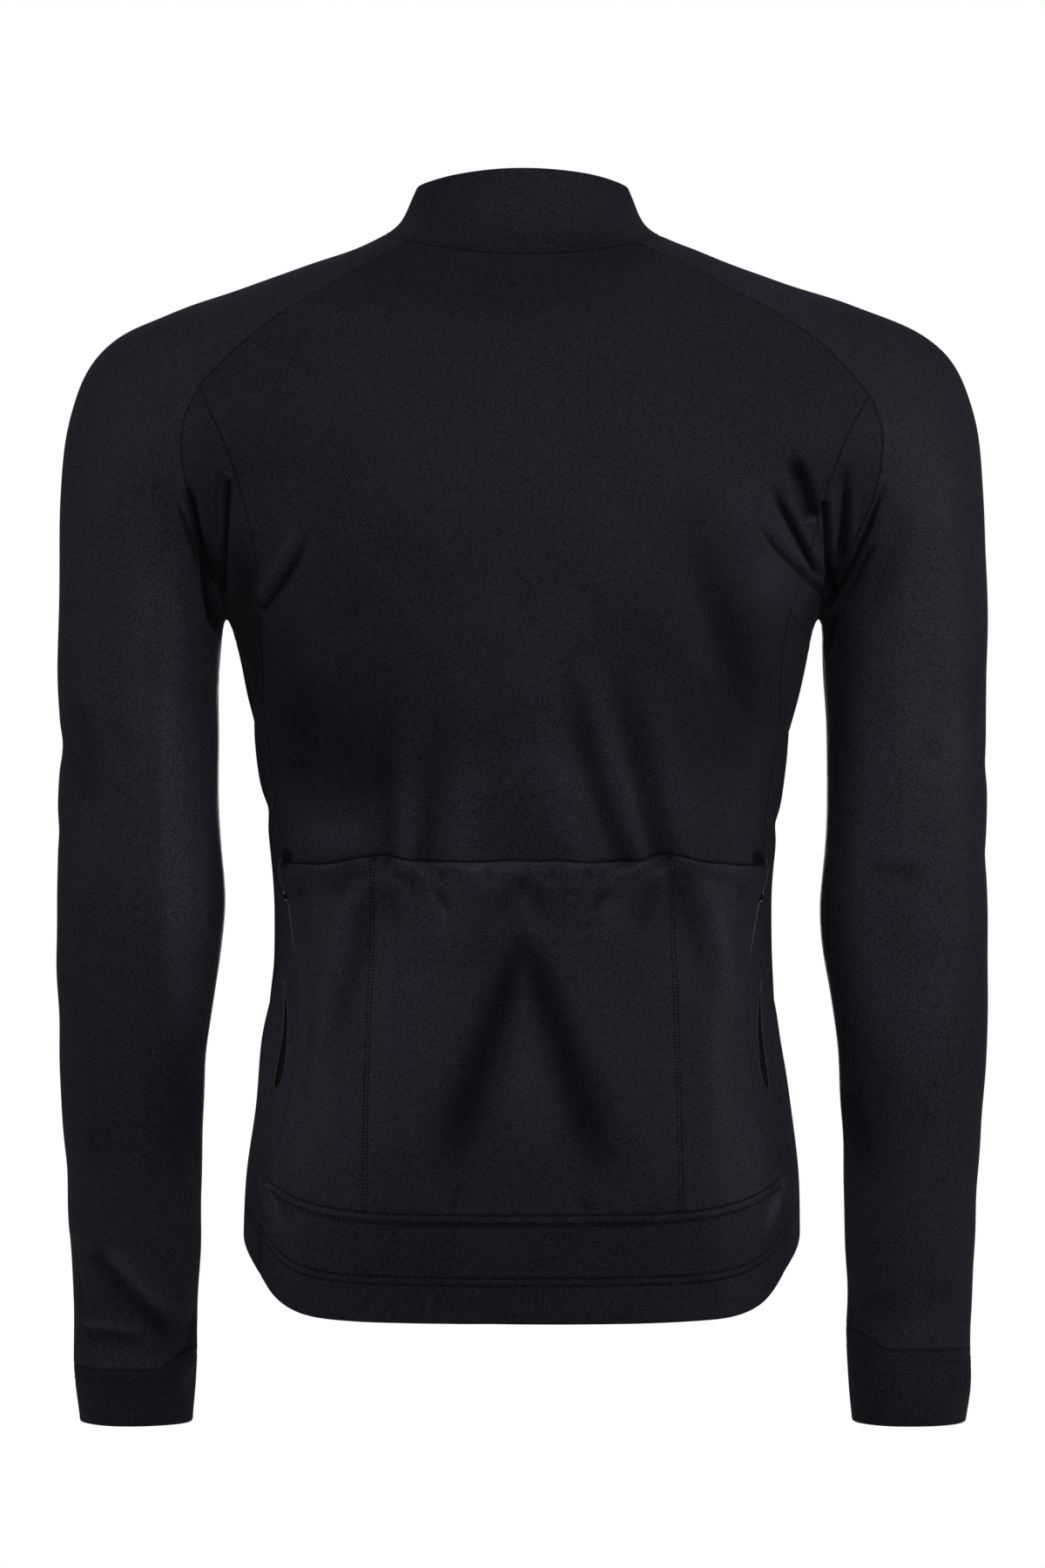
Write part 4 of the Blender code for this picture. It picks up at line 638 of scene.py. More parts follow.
def form(points):
    """Below nought inside the filled-out jersey and above nought outside it."""
    body, sleeve = trunk_form(points, BODY, BODY), sleeve_form(points)
    parted = ramp(points[..., 2], *SHOULDER_BLEND)
    rounding = SHOULDER_ROUNDING + (CROTCH_ROUNDING - SHOULDER_ROUNDING) * parted
    near = np.maximum(rounding - np.abs(body - sleeve), 0) / rounding
    return below_shoulders(points, np.minimum(body, sleeve) - near ** 2 * rounding / 4)


def arm_form(points):
    """The form with the body left out below the shoulders, so only the arm is there."""
    return below_shoulders(points, sleeve_form(points))


def slopes_of_form(points):
    """How the form changes along X, Y and Z at each point."""
    steps = [form(points + shift) - form(points - shift) for shift in np.eye(3) * SLOPE_STEP]
    return np.stack(steps, axis=-1) / (2 * SLOPE_STEP)


def outward(points):
    """The direction straight out of the form at each point."""
    return unit(slopes_of_form(points))


def settle(points):
    """Points moved on to the form, in a few Newton steps along its own slope."""
    for _ in range(3):
        slopes = slopes_of_form(points)
        steepness = np.sum(slopes ** 2, axis=-1, keepdims=True)
        points = points - form(points)[..., None] * slopes / steepness
    return points


def cast(origins, directions, reach, solid=form, marches=60):
    """Where rays from inside first leave the solid: a march, then halving, then a chord."""
    origins, directions = np.broadcast_arrays(origins, directions)
    low = np.zeros(origins.shape[:-1])
    high = np.full(origins.shape[:-1], float(reach))
    found = np.zeros(origins.shape[:-1], bool)
    for distance in np.linspace(0, reach, marches + 1)[1:-1]:
        outside = solid(origins + directions * distance) > 0
        high[outside & ~found] = distance
        found |= outside
        low[~found] = distance
    for _ in range(12):
        middle = (low + high) / 2
        outside = solid(origins + directions * middle[..., None]) > 0
        high = np.where(outside, middle, high)
        low = np.where(outside, low, middle)
    inside = solid(origins + directions * low[..., None])
    outside = solid(origins + directions * high[..., None])
    share = np.clip(inside / np.minimum(inside - outside, -1e-12), 0, 1)
    return origins + directions * (low + (high - low) * share)[..., None]


def on_face(x, z, facing):
    """The point of the form behind (facing 1) or before (facing -1) the place x, z."""
    return cast(xyz(x, 0.0, z), xyz(0.0, facing, 0.0), 0.15, marches=1)


def on_side(y, z):
    """The point of the body's left side at this depth and height."""
    return cast(xyz(0.0, y, z), xyz(1.0, 0.0, 0.0), 0.21)


def on_azimuth(azimuth, z):
    """The point of the form at this height, in this direction from the upright axis."""
    return cast(xyz(0.0, 0.0, z), xyz(np.cos(azimuth), np.sin(azimuth), 0.0), 0.21)


# --- Curves ---

def lengths(curve):
    """How far along the curve each of its points is."""
    steps = np.linalg.norm(np.diff(curve, axis=0), axis=1)
    return np.concatenate([[0], np.cumsum(steps)])


def read_along(curve, values, at):
    """What belongs to a curve's points, read at these distances along it."""
    here = lengths(curve)
    return np.stack([np.interp(at, here, column) for column in values.T], axis=-1)


def shares(length, spacing, marks=()):
    """Places along a stretch as shares of it: even steps, and close ones by each mark.

    Pairs of (end, spacing) in place of one spacing give steps that differ.
    """
    bands = spacing if isinstance(spacing, tuple) else ((length, spacing),)
    even = np.zeros(1)
    for end, step in bands:
        count = 2 * max(round((end - even[-1]) / step / 2), 1)
        even = np.append(even, np.linspace(even[-1], end, count + 1)[1:])
    near = [mark + sign * step for mark in marks for step in CLOSE for sign in (-1, 1)]
    near = np.unique(np.round([place for place in near if -1e-9 < place < length + 1e-9], 7))
    if len(near):
        gap = np.abs(even[:, None] - near).min(axis=1)
        gap[[0, -1]] = 1
        even = even[gap > CLOSEST]
    return np.unique(np.round(np.concatenate([even, near]), 7)) / length


def spread(points, where):
    """The same curve, or rows of curves, with points at these shares of its length."""
    if points.ndim == 3:
        return np.array([spread(row, where) for row in points])
    return read_along(points, points, where * lengths(points)[-1])


def spread_on_form(points, where):
    """Those shares of the curve, settled on the form with both ends kept."""
    curve = spread(points, where)
    curve[..., 1:-1, :] = settle(curve[..., 1:-1, :])
    return curve


def curve_through(points, where):
    """A smooth curve through a few places on the form, at these shares of it."""
    along = lengths(points)
    smooth = Profile(("along", "x", "y", "z"), np.column_stack([along, points]), 601)
    return spread_on_form(xyz(*(smooth.values[axis] for axis in "xyz")), where)


def join(*curves):
    """Curves end to end, each starting where the last one stopped."""
    return np.concatenate([curves[0]] + [curve[1:] for curve in curves[1:]])


def neck_height(azimuth):
    """Height of the collar seam round the neck: lower behind, lowest in front."""
    depth = np.sin(azimuth)
    drop = np.where(depth > 0, NECK_BACK_DROP, NECK_FRONT_DROP)
    return NECK_SIDE_Z - drop * np.abs(depth) ** NECK_CURVE


def neck(azimuth):
    """Point of the collar seam in this direction from the neck's middle."""
    return on_azimuth(azimuth, neck_height(azimuth))


# Rows along each stretch of seam and columns across each panel, as shares of its length.
HEM_LENGTH = 0.0516
HEM_LINES = (0.0246, 0.0291)  # the two stitched lines, down the back's side seam
HEM_LINES_FRONT = (0.10, 0.25)  # the same two, as shares of the front's side seam
POCKET_LENGTH = 0.2050
POCKET_LINES = (0.1995, 0.2042)
CUFF_LENGTH = 0.0400
CUFF_LINES = (0.0060, 0.0100)
COLLAR_HEIGHT = 0.045
RAGLAN = shares(0.112, 0.0028, (0,))
GUSSET = shares(0.145, ((0.010, 0.0025), (0.145, 0.0015)))
WAIST = shares(0.150, ((0.012, 0.0016), (0.141, 0.0031), (0.150, 0.0009)))
POCKET = shares(POCKET_LENGTH, 0.0025, (0,) + POCKET_LINES)
HEM = shares(HEM_LENGTH, 0.0024, HEM_LINES + (HEM_LENGTH,))
HEM_BEFORE = np.interp(HEM, (0,) + HEM_SHARES + (1,), (0,) + HEM_LINES_FRONT + (1,))
CROSS = shares(0.130, 0.0030, (0, 0.130))
BACK_ACROSS = shares(0.310, ((0.045, 0.0014), (0.265, 0.0028), (0.310, 0.0014)), (0, 0.310))
FRONT_ACROSS = shares(0.165, 0.0036, (0, 0.0055, 0.165))
GUSSET_ACROSS = shares(0.070, 0.0019, (0, 0.070))
SLEEVE_ROUND = shares(0.290, ((0.050, 0.0015), (0.290, 0.0032)), (0, 0.290))
SLEEVE_DOWN = shares(SLEEVE_LENGTH, 0.0034, (SLEEVE_LENGTH,))
CUFF_DOWN = shares(CUFF_LENGTH, 0.0022, (0, CUFF_LENGTH))
COLLAR_UP = shares(COLLAR_HEIGHT, 0.0022, (0, 0.0022, COLLAR_HEIGHT))
COLLAR_ROUND = shares(0.420, 0.0024, (0, 0.0055, 0.4145, 0.420))
ZIP_DOWN = shares(0.640, 0.0030)
STRETCHES = (RAGLAN, GUSSET, WAIST, POCKET, HEM)
SIDE_FIRST_ROW = len(RAGLAN) + len(GUSSET) - 2  # row of the back where the sides start


def seam(rows, side, facing, where, before, after=None):
    """A seam through a table's places, with a known point before or after them."""
    table = np.array(rows)
    if table.shape[1] == 4:
        table = table[:, SEAM_COLUMNS[side]]
    points = np.vstack([before, on_face(*table.T, facing)])
    if after is not None:
        points = np.vstack([points, after])
    return curve_through(points, where)


@functools.lru_cache(maxsize=None)
def seams(side):
    """Every seam of one side, drawn on the wearer's left, by name."""
    crotch = cast(xyz(CROTCH_X, 0, -0.215), xyz(0.0, 0.0, -1.0), 0.04)
    armhole_shares = np.linspace(0, 1, len(GUSSET) + (len(CROSS) - 1) // 2)
    lines = {}
    for face, facing, azimuth, raglan, edge, armhole, waist, pocket, hem, hem_rows in (
            ("back", 1, RAGLAN_BACK_AZIMUTH, RAGLAN_BACK, SIDE_BACK, ARMHOLE_BACK,
             WAIST_BACK, POCKET_BACK, HEM_BACK, HEM),
            ("front", -1, RAGLAN_FRONT_AZIMUTH, RAGLAN_FRONT, SIDE_FRONT, ARMHOLE_FRONT,
             WAIST_FRONT, POCKET_FRONT, HEM_FRONT, HEM_BEFORE)):
        upper = seam(raglan, side, facing, RAGLAN, neck(azimuth))
        fork = upper[-1]
        middle = seam(edge, side, facing, GUSSET, fork)
        low = middle[-1:]
        for rows, where in ((waist, WAIST), (pocket, POCKET), (hem, hem_rows)):
            low = join(low, seam(rows, side, facing, where, low[-1]))
        lines["raglan_" + face] = upper
        lines["edge_" + face] = middle
        lines["low_" + face] = low
        lines["armhole_" + face] = seam(armhole, side, facing, armhole_shares, fork, crotch)
    under = np.vstack([lines["edge_back"][-1], on_side(*np.array(CROSS_SEAM).T),
                       lines["edge_front"][-1]])
    lines["cross"] = curve_through(under, CROSS)
    return lines


# --- Panels, as grids of points ---

def row_stations():
    """For each row of a body panel, how far it is along the list of stations."""
    steps = [index + where for index, where in enumerate(STRETCHES)]
    return join(*steps)


def body_side(lines, face):
    """The whole side edge of the back or of a front, from collar to hem."""
    return join(lines["raglan_" + face], lines["edge_" + face], lines["low_" + face])


def bent_rows(table, edge_z, across):
    """Heights along every row of a panel, bent from its middle to its side edge."""
    at, middle, flatness = np.array(table).T
    stations = row_stations()
    middle = np.interp(stations, at, middle)[:, None]
    flatness = np.interp(stations, at, flatness)[:, None]
    return middle + (edge_z - middle) * np.abs(across) ** flatness


@functools.lru_cache(maxsize=None)
def back_grid():
    """Rows across the back from the right side edge to the left one."""
    left, right = body_side(seams("left"), "back"), body_side(seams("right"), "back")
    across = np.sin(np.linspace(-1, 1, FINE) * math.pi / 2)
    edge = np.where(across[:, None] > 0, left[:, None], right[:, None])
    rows = on_face(across * edge[..., 0], bent_rows(BACK_STATIONS, edge[..., 2], across), 1)
    rows[0] = neck(np.linspace(math.pi - RAGLAN_BACK_AZIMUTH, RAGLAN_BACK_AZIMUTH, FINE))
    rows[:, -1] = left
    rows[:, 0] = right * (-1, 1, 1)
    return spread_on_form(rows, BACK_ACROSS)


def front_grid(lines):
    """Rows across one front from the zip to its side edge."""
    side = body_side(lines, "front")
    across = np.sin(np.linspace(0, 1, FINE) * math.pi / 2)
    x = ZIP_EDGE + (side[:, :1] - ZIP_EDGE) * across
    rows = on_face(x, bent_rows(FRONT_STATIONS, side[:, 2:], across), -1)
    first = neck(-math.pi / 2)[1]
    rows[0] = neck(np.linspace(math.atan2(first, ZIP_EDGE), RAGLAN_FRONT_AZIMUTH, FINE))
    rows[:, -1] = side
    return spread_on_form(rows, FRONT_ACROSS)


def side_grid(lines):
    """Rows round the body's side from the back's seam to the front's."""
    back, front = lines["low_back"], lines["low_front"]
    azimuth_back, azimuth_front = (np.arctan2(edge[:, 1], edge[:, 0])[:, None]
                                   for edge in (back, front))
    across = np.linspace(0, 1, FINE)
    curl = np.linspace(1, 3, len(back))[:, None]
    z = front[:, 2:] + (back[:, 2:] - front[:, 2:]) * (1 - across) ** curl
    top = curve_through(lines["cross"], across)
    z = z + (top[:, 2] - z[0]) * (1 - ramp(lengths(back)[:, None], 0, CROSS_FADE))
    rows = on_azimuth(azimuth_back + (azimuth_front - azimuth_back) * across, z)
    rows[0] = top
    rows[:, 0] = back
    rows[:, -1] = front
    grid = spread_on_form(rows, CROSS)
    grid[0] = lines["cross"]
    return grid


def gusset_grid(lines):
    """Rows along the gusset under the arm, from the back's point to the front's."""
    lower = join(lines["edge_back"], lines["cross"], lines["edge_front"][::-1])
    upper = join(lines["armhole_back"], lines["armhole_front"][::-1])
    for edge in (lower, upper):
        edge[0] += (edge[1] - edge[0]) * TIP
        edge[-1] += (edge[-2] - edge[-1]) * TIP
    grid = upper[:, None] + (lower - upper)[:, None] * GUSSET_ACROSS[:, None]
    for _ in range(2):
        grid[:, 1:-1] = settle(grid[:, 1:-1])
        grid = spread_on_form(grid, GUSSET_ACROSS)
    return grid


def ease_to_last(rows, reach):
    """Change the rows within reach of the last one so that they take its shape by degrees."""
    count = int(np.searchsorted(lengths(rows[::-1, 0]), reach))
    far, last = rows[-1 - count], rows[-1]
    inner = rows[-count:-1]
    share = lengths(rows[-1 - count:, 0])
    share = 1 - (share / share[-1])[1:-1, None, None]
    eased = last + (far - last) * share
    across = np.linspace(0, 1, rows.shape[1])[:, None]
    eased += (inner[:, :1] - eased[:, :1]) * (1 - across)
    eased += (inner[:, -1:] - eased[:, -1:]) * across
    inner[:, 1:-1] = settle(eased)[:, 1:-1]


def sleeve_cap(lines):
    """Rows over the shoulder, from the level ring at the armpit to the collar seam.

    Each row between lies in a plane through its two seam points and a point of the
    outline, and is where rays from the arm's middle leave the form in that plane.
    """
    back = join(lines["armhole_back"][::-1], lines["raglan_back"][::-1])
    front = join(lines["armhole_front"][::-1], lines["raglan_front"][::-1])
    heights = np.linspace(back[0, 2], NECK_SIDE_Z, FINE)
    share = lengths(back) / lengths(back)[-1]
    top = spread(xyz(OUTLINE.read("half_width", heights), 0.0, heights), share)
    most, drop, by = ARM_MIDDLE
    middle = (back + front) / 2
    out = unit(top - middle)
    side = back - front
    side = unit(side - out * np.sum(side * out, axis=1, keepdims=True) + (0, 1e-6, 0))
    centre = middle + (top - middle) * (most - drop * np.minimum(share / by, 1))[:, None]
    turns = [np.arccos(np.clip(np.sum(unit(edge - centre) * out, axis=1), -1, 1))
             for edge in (back, front)]
    angles = np.linspace(turns[0], -turns[1], FINE, axis=1)[..., None]
    directions = np.cos(angles) * out[:, None] + np.sin(angles) * side[:, None]
    rows = settle(cast(centre[:, None], directions, 0.20, solid=arm_form))
    rows[:, 0] = back
    rows[:, -1] = front
    rows[0] = sleeve_rings(np.full((1, FINE), back[0, 2]))[0]
    rows[0][[0, -1]] = back[0]
    rows[-1] = neck(np.linspace(RAGLAN_BACK_AZIMUTH, RAGLAN_FRONT_AZIMUTH, FINE))
    ease_to_last(rows, NECK_REACH)
    ease_to_last(rows[::-1], ARMPIT_REACH)
    return rows


def ring_angles(heights):
    """Directions round the sleeve, from its inner seam over the back and outside."""
    turn = INNER_SEAM_TURN * ramp(heights[:, :1], *INNER_SEAM_TURN_SPAN)
    return math.pi - turn - np.linspace(0, 2 * math.pi, FINE)


def sleeve_rings(heights):
    """Rings round the sleeve at these heights, one height for each point of a ring."""
    angles = ring_angles(heights)
    centres = xyz((SLEEVE.read("inner", heights) + SLEEVE.read("outer", heights)) / 2,
                  SLEEVE.read("middle", heights), heights)
    directions = xyz(np.cos(angles), np.sin(angles), 0.0)
    return cast(centres, directions, 0.08, solid=sleeve_form, marches=1)


def cuff_seam_heights(side):
    """Height of the cuff seam round the sleeve: level outside and higher on the inside."""
    angles = ring_angles(np.full((1, FINE), -1.0))
    return CUFF_SEAM_Z[side] + CUFF_SEAM_RISE * ramp(-np.cos(angles), 0.45, 1.0)


def sleeve_grid(lines, side):
    """Rows from the collar seam down to the cuff seam, each from back seam to front."""
    cap = sleeve_cap(lines)[::-1]
    armpit = cap[-1, 0, 2]
    down = np.concatenate([np.linspace(0, 1, 8)[:-1] * SLEEVE_FIRST_STEP,
                           SLEEVE_FIRST_STEP + SLEEVE_DOWN * SLEEVE_LENGTH])[1:]
    heights = armpit + (cuff_seam_heights(side) - armpit) * (down / down[-1])[:, None]
    return spread_on_form(np.concatenate([cap, sleeve_rings(heights)]), SLEEVE_ROUND)


def cuff_grid(side):
    """Rings from the cuff seam to the sleeve's end."""
    top = cuff_seam_heights(side)
    heights = top + (CUFF_END_Z - top) * CUFF_DOWN[:, None]
    return spread_on_form(sleeve_rings(heights), SLEEVE_ROUND)


def collar_grid():
    """Rings of the stand collar, from the left front edge round the back to the right."""
    turn = np.linspace(COLLAR_GAP - math.pi / 2, 1.5 * math.pi - COLLAR_GAP, 2 * FINE)
    depth = np.sin(turn)
    behind = (COLLAR_BACK_TOP - COLLAR_SIDE_TOP) * depth ** 2
    before = (COLLAR_FRONT_TOP - COLLAR_SIDE_TOP) * np.abs(depth) ** COLLAR_FRONT_CURVE
    top = COLLAR_SIDE_TOP + np.where(depth > 0, behind, before)
    bottom = neck_height(turn)
    rows = on_azimuth(turn, bottom + (top - bottom) * COLLAR_UP[:, None])
    for column, x in ((0, ZIP_EDGE), (-1, -ZIP_EDGE)):
        rows[:, column] = on_face(x, rows[:, column, 2], -1)
    return spread_on_form(rows, COLLAR_ROUND)


def zip_tape_grid():
    """The tape behind the two fronts, from hem to collar top."""
    ends = (FRONT_STATIONS[-1][1] + TAPE_INSET, COLLAR_FRONT_TOP - TAPE_INSET)
    heights = np.interp(ZIP_DOWN, (0, 1), ends)[:, None]
    return on_face(np.linspace(-1, 1, 7) * TAPE_HALF_WIDTH, heights, -1)


def partition_x(z):
    """How far from the middle the stitched line between two pockets is at this height."""
    return np.interp(z, *np.array(PARTITION)[::-1].T)


def pocket_base():
    """The pocket layer's rows: the back's own, raised at the lines and corners on top."""
    stations = row_stations()
    base = back_grid()[(stations >= POCKET_STATION) & (stations <= HEM_STATION)]
    down = POCKET[:, None] * POCKET_LENGTH
    x, z = base[..., 0], base[..., 2]
    reach = np.abs(x) / np.abs(base[:, -1:, 0])
    peak = 0.0044 * bell(np.abs(x) - BAR_X, 0.017)
    corner = 0.0042 * ramp(reach, 0.955, 1.0)
    wave = 0.0005 * np.sin(x / 0.0071 + 1.3) * np.sin(x / 0.0173) - 0.0006
    z = z + (peak + wave) * (1 - ramp(down, 0, 0.045)) + corner * (1 - ramp(down, 0, 0.012))
    bulge = 0.0034 * bell(z + 0.3845, 0.010) - POCKET_SIDE_INSET
    return on_face(x + np.sign(x) * bulge * ramp(reach, 0.9, 1.0), z, 1)


@functools.lru_cache(maxsize=None)
def base_grid(name):
    """A panel's points on the form, for the side that its name ends in."""
    piece, _, side = name.rpartition("_")
    makers = {
        "front": lambda: front_grid(seams(side)),
        "side": lambda: side_grid(seams(side)),
        "gusset": lambda: gusset_grid(seams(side)),
        "sleeve": lambda: sleeve_grid(seams(side), side),
        "cuff": lambda: cuff_grid(side),
    }
    if side in ("left", "right"):
        grid = makers[piece]()
        return grid if side == "left" else grid * (-1, 1, 1)
    return {"back_panel": back_grid, "collar": collar_grid, "pocket_panel": pocket_base,
            "front_zip": zip_tape_grid}[name]()


# --- Relief: folds, ripples and sewn edges ---

def picks(view, points, normals):
    """Each point's two places in a view, and how much it faces it."""
    across, facing, sign, nearest_aside, farthest_aside, _ = VIEWS[view]
    out = ramp(sign * normals[..., facing], *FACING_FADE)
    aside = np.abs(points[..., 0]) if facing else sign * points[..., 0]
    out = out * ramp(aside, nearest_aside - SIDE_FADE, nearest_aside + SIDE_FADE)
    out = out * (1 - ramp(aside, farthest_aside - SIDE_FADE, farthest_aside + SIDE_FADE))
    return points[..., (across, 2)], out


def fold_heights(points, normals):
    """How far the folds lift or sink each point, and the painted light and shade they give its
    colour, in mm.

    A fold runs along a curve between two places, drawn by a third. Across it is a bell
    with a width of its own on each side, which grows along it by the flare, and it fades
    out at both ends.
    """
    total = np.zeros(points.shape[:-1])
    painted_shading = np.zeros(points.shape[:-1])
    for view, (*_, folds) in VIEWS.items():
        flat, out = picks(view, points, normals)
        for *corners, one_side, other_side, flare, fade_in, fade_out, height in folds:
            start, middle, end = corners = np.array(corners).reshape(3, 2) / 1000
            widest = max(one_side, other_side) / 1000 * max(flare, 1) * 2.6
            low, high = corners.min(axis=0) - widest, corners.max(axis=0) + widest
            near = np.all((flat > low) & (flat < high), axis=-1) & (out > 0)
            if not near.any():
                continue
            here = flat[near]
            steps = np.linspace(0, 1, max(int(np.linalg.norm(end - start) / FOLD_STEP), 8))
            t = steps[:, None]
            line = (1 - t) ** 2 * start + 2 * t * (1 - t) * middle + t ** 2 * end
            run = 2 * (1 - t) * (middle - start) + 2 * t * (end - middle)
            closest = np.argmin(np.sum((here[:, None] - line) ** 2, axis=-1), axis=1)
            offset = here - line[closest]
            turn = run[closest, 0] * offset[:, 1] - run[closest, 1] * offset[:, 0]
            along = steps[closest]
            width = np.where(turn > 0, one_side, other_side) / 1000 * (1 + (flare - 1) * along)
            fade = ramp(along, 0, fade_in) * ramp(1 - along, 0, fade_out)
            lift = height * fade * bell(np.linalg.norm(offset, axis=1), width) * out[near]
            breadth = one_side + other_side
            total[near] += lift / 1000 * min(breadth / NARROW_WIDTH, 1)
            # painted shade where a fold sinks and painted light where it rises, less on broad
            # folds
            painted_shading[near] += lift * min(PAINTED_SHADE_WIDTH / breadth, 1)
    return total, painted_shading


def paint_light_and_shade_ovals(points, normals):
    """Broad or small places of painted light and shade on the back, as flat-topped ovals."""
    painted_shading = np.zeros(points.shape[:-1])
    flat, out = picks("back", points, normals)
    for x, z, half_across, half_up, strength in PAINTED_LIGHT_AND_SHADE:
        reach = (flat * 1000 - (x, z)) / (half_across, half_up)
        painted_shading += strength * np.exp(-np.sum(reach ** 2, axis=-1) ** 2) * out
    return painted_shading


def ripples(points):
    """Slow waves over all the cloth, the sum of a few flat waves that cross each other."""
    return sum(height * np.sin(points @ unit(np.array(direction)) * 2 * math.pi / length + phase)
               for length, height, *direction, phase in RIPPLES)


def edge_distances(grid):
    """Distance of each point from its grid's first and last row and column, by the cloth."""
    found = []
    for axis in (0, 1):
        steps = np.linalg.norm(np.diff(grid, axis=axis), axis=-1)
        far = np.insert(np.cumsum(steps, axis=axis), 0, 0, axis=axis)
        found += [far, np.take(far, [-1], axis=axis) - far]
    return found


def sewn_edge(distance, puckers=0.0):
    """A seam's groove, the soft puff beside it, and the small tucks that thread pulls."""
    puff = SEAM_PUFF * bell(distance - 3.4e-3, 2.0e-3)
    return puff - SEAM_DEPTH * bell(distance, SEAM_WIDTH) + puckers * np.exp(-distance / 5.0e-3)


def turned_edge(distance):
    """A hem's folded edge: round, and drawn in over the last millimetre."""
    return -TURN_DEPTH * np.clip(1 - distance / TURN_WIDTH, 0, 1) ** 2


def stitch_groove(distance, depth=1.0):
    """A stitched line, sunk into the cloth."""
    return -STITCH_GROOVE * depth * bell(distance, STITCH_GROOVE_WIDTH)


def tucks(along, seed, pitch=0.0085):
    """Small uneven waves along a seam, from -1 to 1."""
    one, two, three = (np.sin(along * 2 * math.pi / (pitch * longer) + seed * shift)
                       for longer, shift in ((1, 1), (1.73, 2.7), (5.1, 1.9)))
    return (0.5 * one + 0.5 * two) * (0.55 + 0.45 * three)


def piece_of(name):
    """What kind of piece it is, without its side."""
    return name.removesuffix("_left").removesuffix("_right")


def stitched_rows(piece):
    """The rows of a piece's grid that stitched lines run along."""
    hem = [nearest(row_stations(), HEM_STATION + share) for share in HEM_SHARES]
    return {
        "back_panel": hem,
        "front": hem,
        "side": [row - SIDE_FIRST_ROW for row in hem],
        "pocket_panel": [nearest(POCKET * POCKET_LENGTH, place) for place in POCKET_LINES],
        "cuff": [nearest(CUFF_DOWN * CUFF_LENGTH, place) for place in CUFF_LINES],
        "collar": [nearest(COLLAR_UP * COLLAR_HEIGHT, COLLAR_LINE)],
    }.get(piece, [])


def panel_relief(name, grid):
    """The sewn edges and stitched lines of a body panel, sleeve, cuff, gusset or collar."""
    piece = piece_of(name)
    seed = sum(map(ord, name)) % 7
    distances = edge_distances(grid)
    top, bottom, first, _ = distances
    along, down = tucks(first, seed + 1) * SEAM_TUCK, tucks(top, seed) * SEAM_TUCK
    relief = np.zeros(grid.shape[:-1])
    for distance, strength, wave in zip(distances, EDGES[piece], (along, along, down, down)):
        if strength == TURNED:
            relief += turned_edge(distance)
        elif strength is not None:
            relief += sewn_edge(distance, wave * strength)
    if piece in ("back_panel", "front", "side"):
        rows = stitched_rows(piece)
        relief += sum(stitch_groove(top - top[row]) for row in rows)
    if piece in ("back_panel", "front"):
        band = top - top[rows[0]]
        relief += HEM_PUFF * ramp(band, 0.004, 0.012) * tucks(first, 3, 0.031)
        relief += SEAM_TUCK * tucks(first, 5, 0.0062) * np.exp(-np.abs(band) / 4.0e-3)
    if piece == "cuff":
        relief += sum(stitch_groove(top - place, 0.7) for place in CUFF_LINES)
    if piece == "collar":
        relief += stitch_groove(top - COLLAR_LINE)
        relief += 0.8e-4 * tucks(first, 2, 0.019) * ramp(bottom, 0, 0.012)
    return relief


def pocket_relief(grid):
    """How far the pocket layer stands off: full between its lines, gathered at the top."""
    top, bottom, first, last = edge_distances(grid)
    x = grid[..., 0]
    side = np.minimum(first, last)
    beside = np.abs(np.abs(x) - partition_x(grid[..., 2]))
    full = ramp(beside, 0, POCKET_SWELL) * ramp(side, 0, 0.028) * ramp(bottom, 0, 0.075)
    full *= 0.35 + 0.65 * ramp(top, 0, 0.050)
    lift = POCKET_GAP + CLOTH_THICKNESS + POCKET_FULLNESS * full
    lift += ELASTIC_HEIGHT * bell(top - 0.0045, 0.0040) * (0.7 + 0.3 * tucks(x, 2, 0.012))
    lift += 3.5e-4 * tucks(x, 4, 0.0105) * np.exp(-top / 0.012) * ramp(top, 0, 0.002)
    lift += sum(stitch_groove(top - top[row]) for row in stitched_rows("pocket_panel"))
    lift += 2.2e-4 * tucks(first, 1, 0.0068) * np.exp(-np.abs(bottom - 0.0055) / 5.0e-3)
    lift += 3.0e-4 * tucks(top, 3, 0.0085) * bell(beside - 0.004, 3.0e-3)
    lift -= 4.0e-4 * bell(top - 0.0105, 1.6e-3) + 3.0e-4 * bell(beside, 1.6e-3)
    lift += np.maximum(turned_edge(top), -4.0e-4) + turned_edge(side) * 0.8
    return lift + sewn_edge(side) * 0.55


def painted_line_shade(name, grid):
    """The painted shade of each sewn edge and stitched line, a dark line without height."""
    piece = piece_of(name)
    distances = edge_distances(grid)
    top = distances[0]
    lines = [distance for distance, strength in zip(distances, EDGES.get(piece, ()))
             if strength not in (None, 0, TURNED)]
    if piece not in ("cuff", "collar"):
        lines += [top - top[row] for row in stitched_rows(piece)]
    shade = sum((bell(line, PAINTED_SEAM_SHADE_WIDTH) for line in lines), np.zeros(grid.shape[:-1]))
    shade = PAINTED_SEAM_SHADE * np.minimum(shade, 1)
    # painted shadow on the back along the pocket's open top
    if piece == "back_panel":
        mouth = pocket_base()[0]
        above = grid[..., 2] - np.interp(grid[..., 0], mouth[:, 0], mouth[:, 2]) - 0.0006
        shade += PAINTED_MOUTH_SHADOW * bell(above, PAINTED_MOUTH_SHADOW_WIDTH)
    return shade


def run_on_edges(grid, amount):
    """The same grid with all four edges drawn out by that much along the cloth."""
    grid = grid.copy()
    for view in (grid, grid.transpose(1, 0, 2)):
        for edge, inner in ((0, 1), (-1, -2)):
            step = view[edge] - view[inner]
            length = np.maximum(np.linalg.norm(step, axis=-1, keepdims=True), 1e-9)
            view[edge] += step / length * amount
    return grid


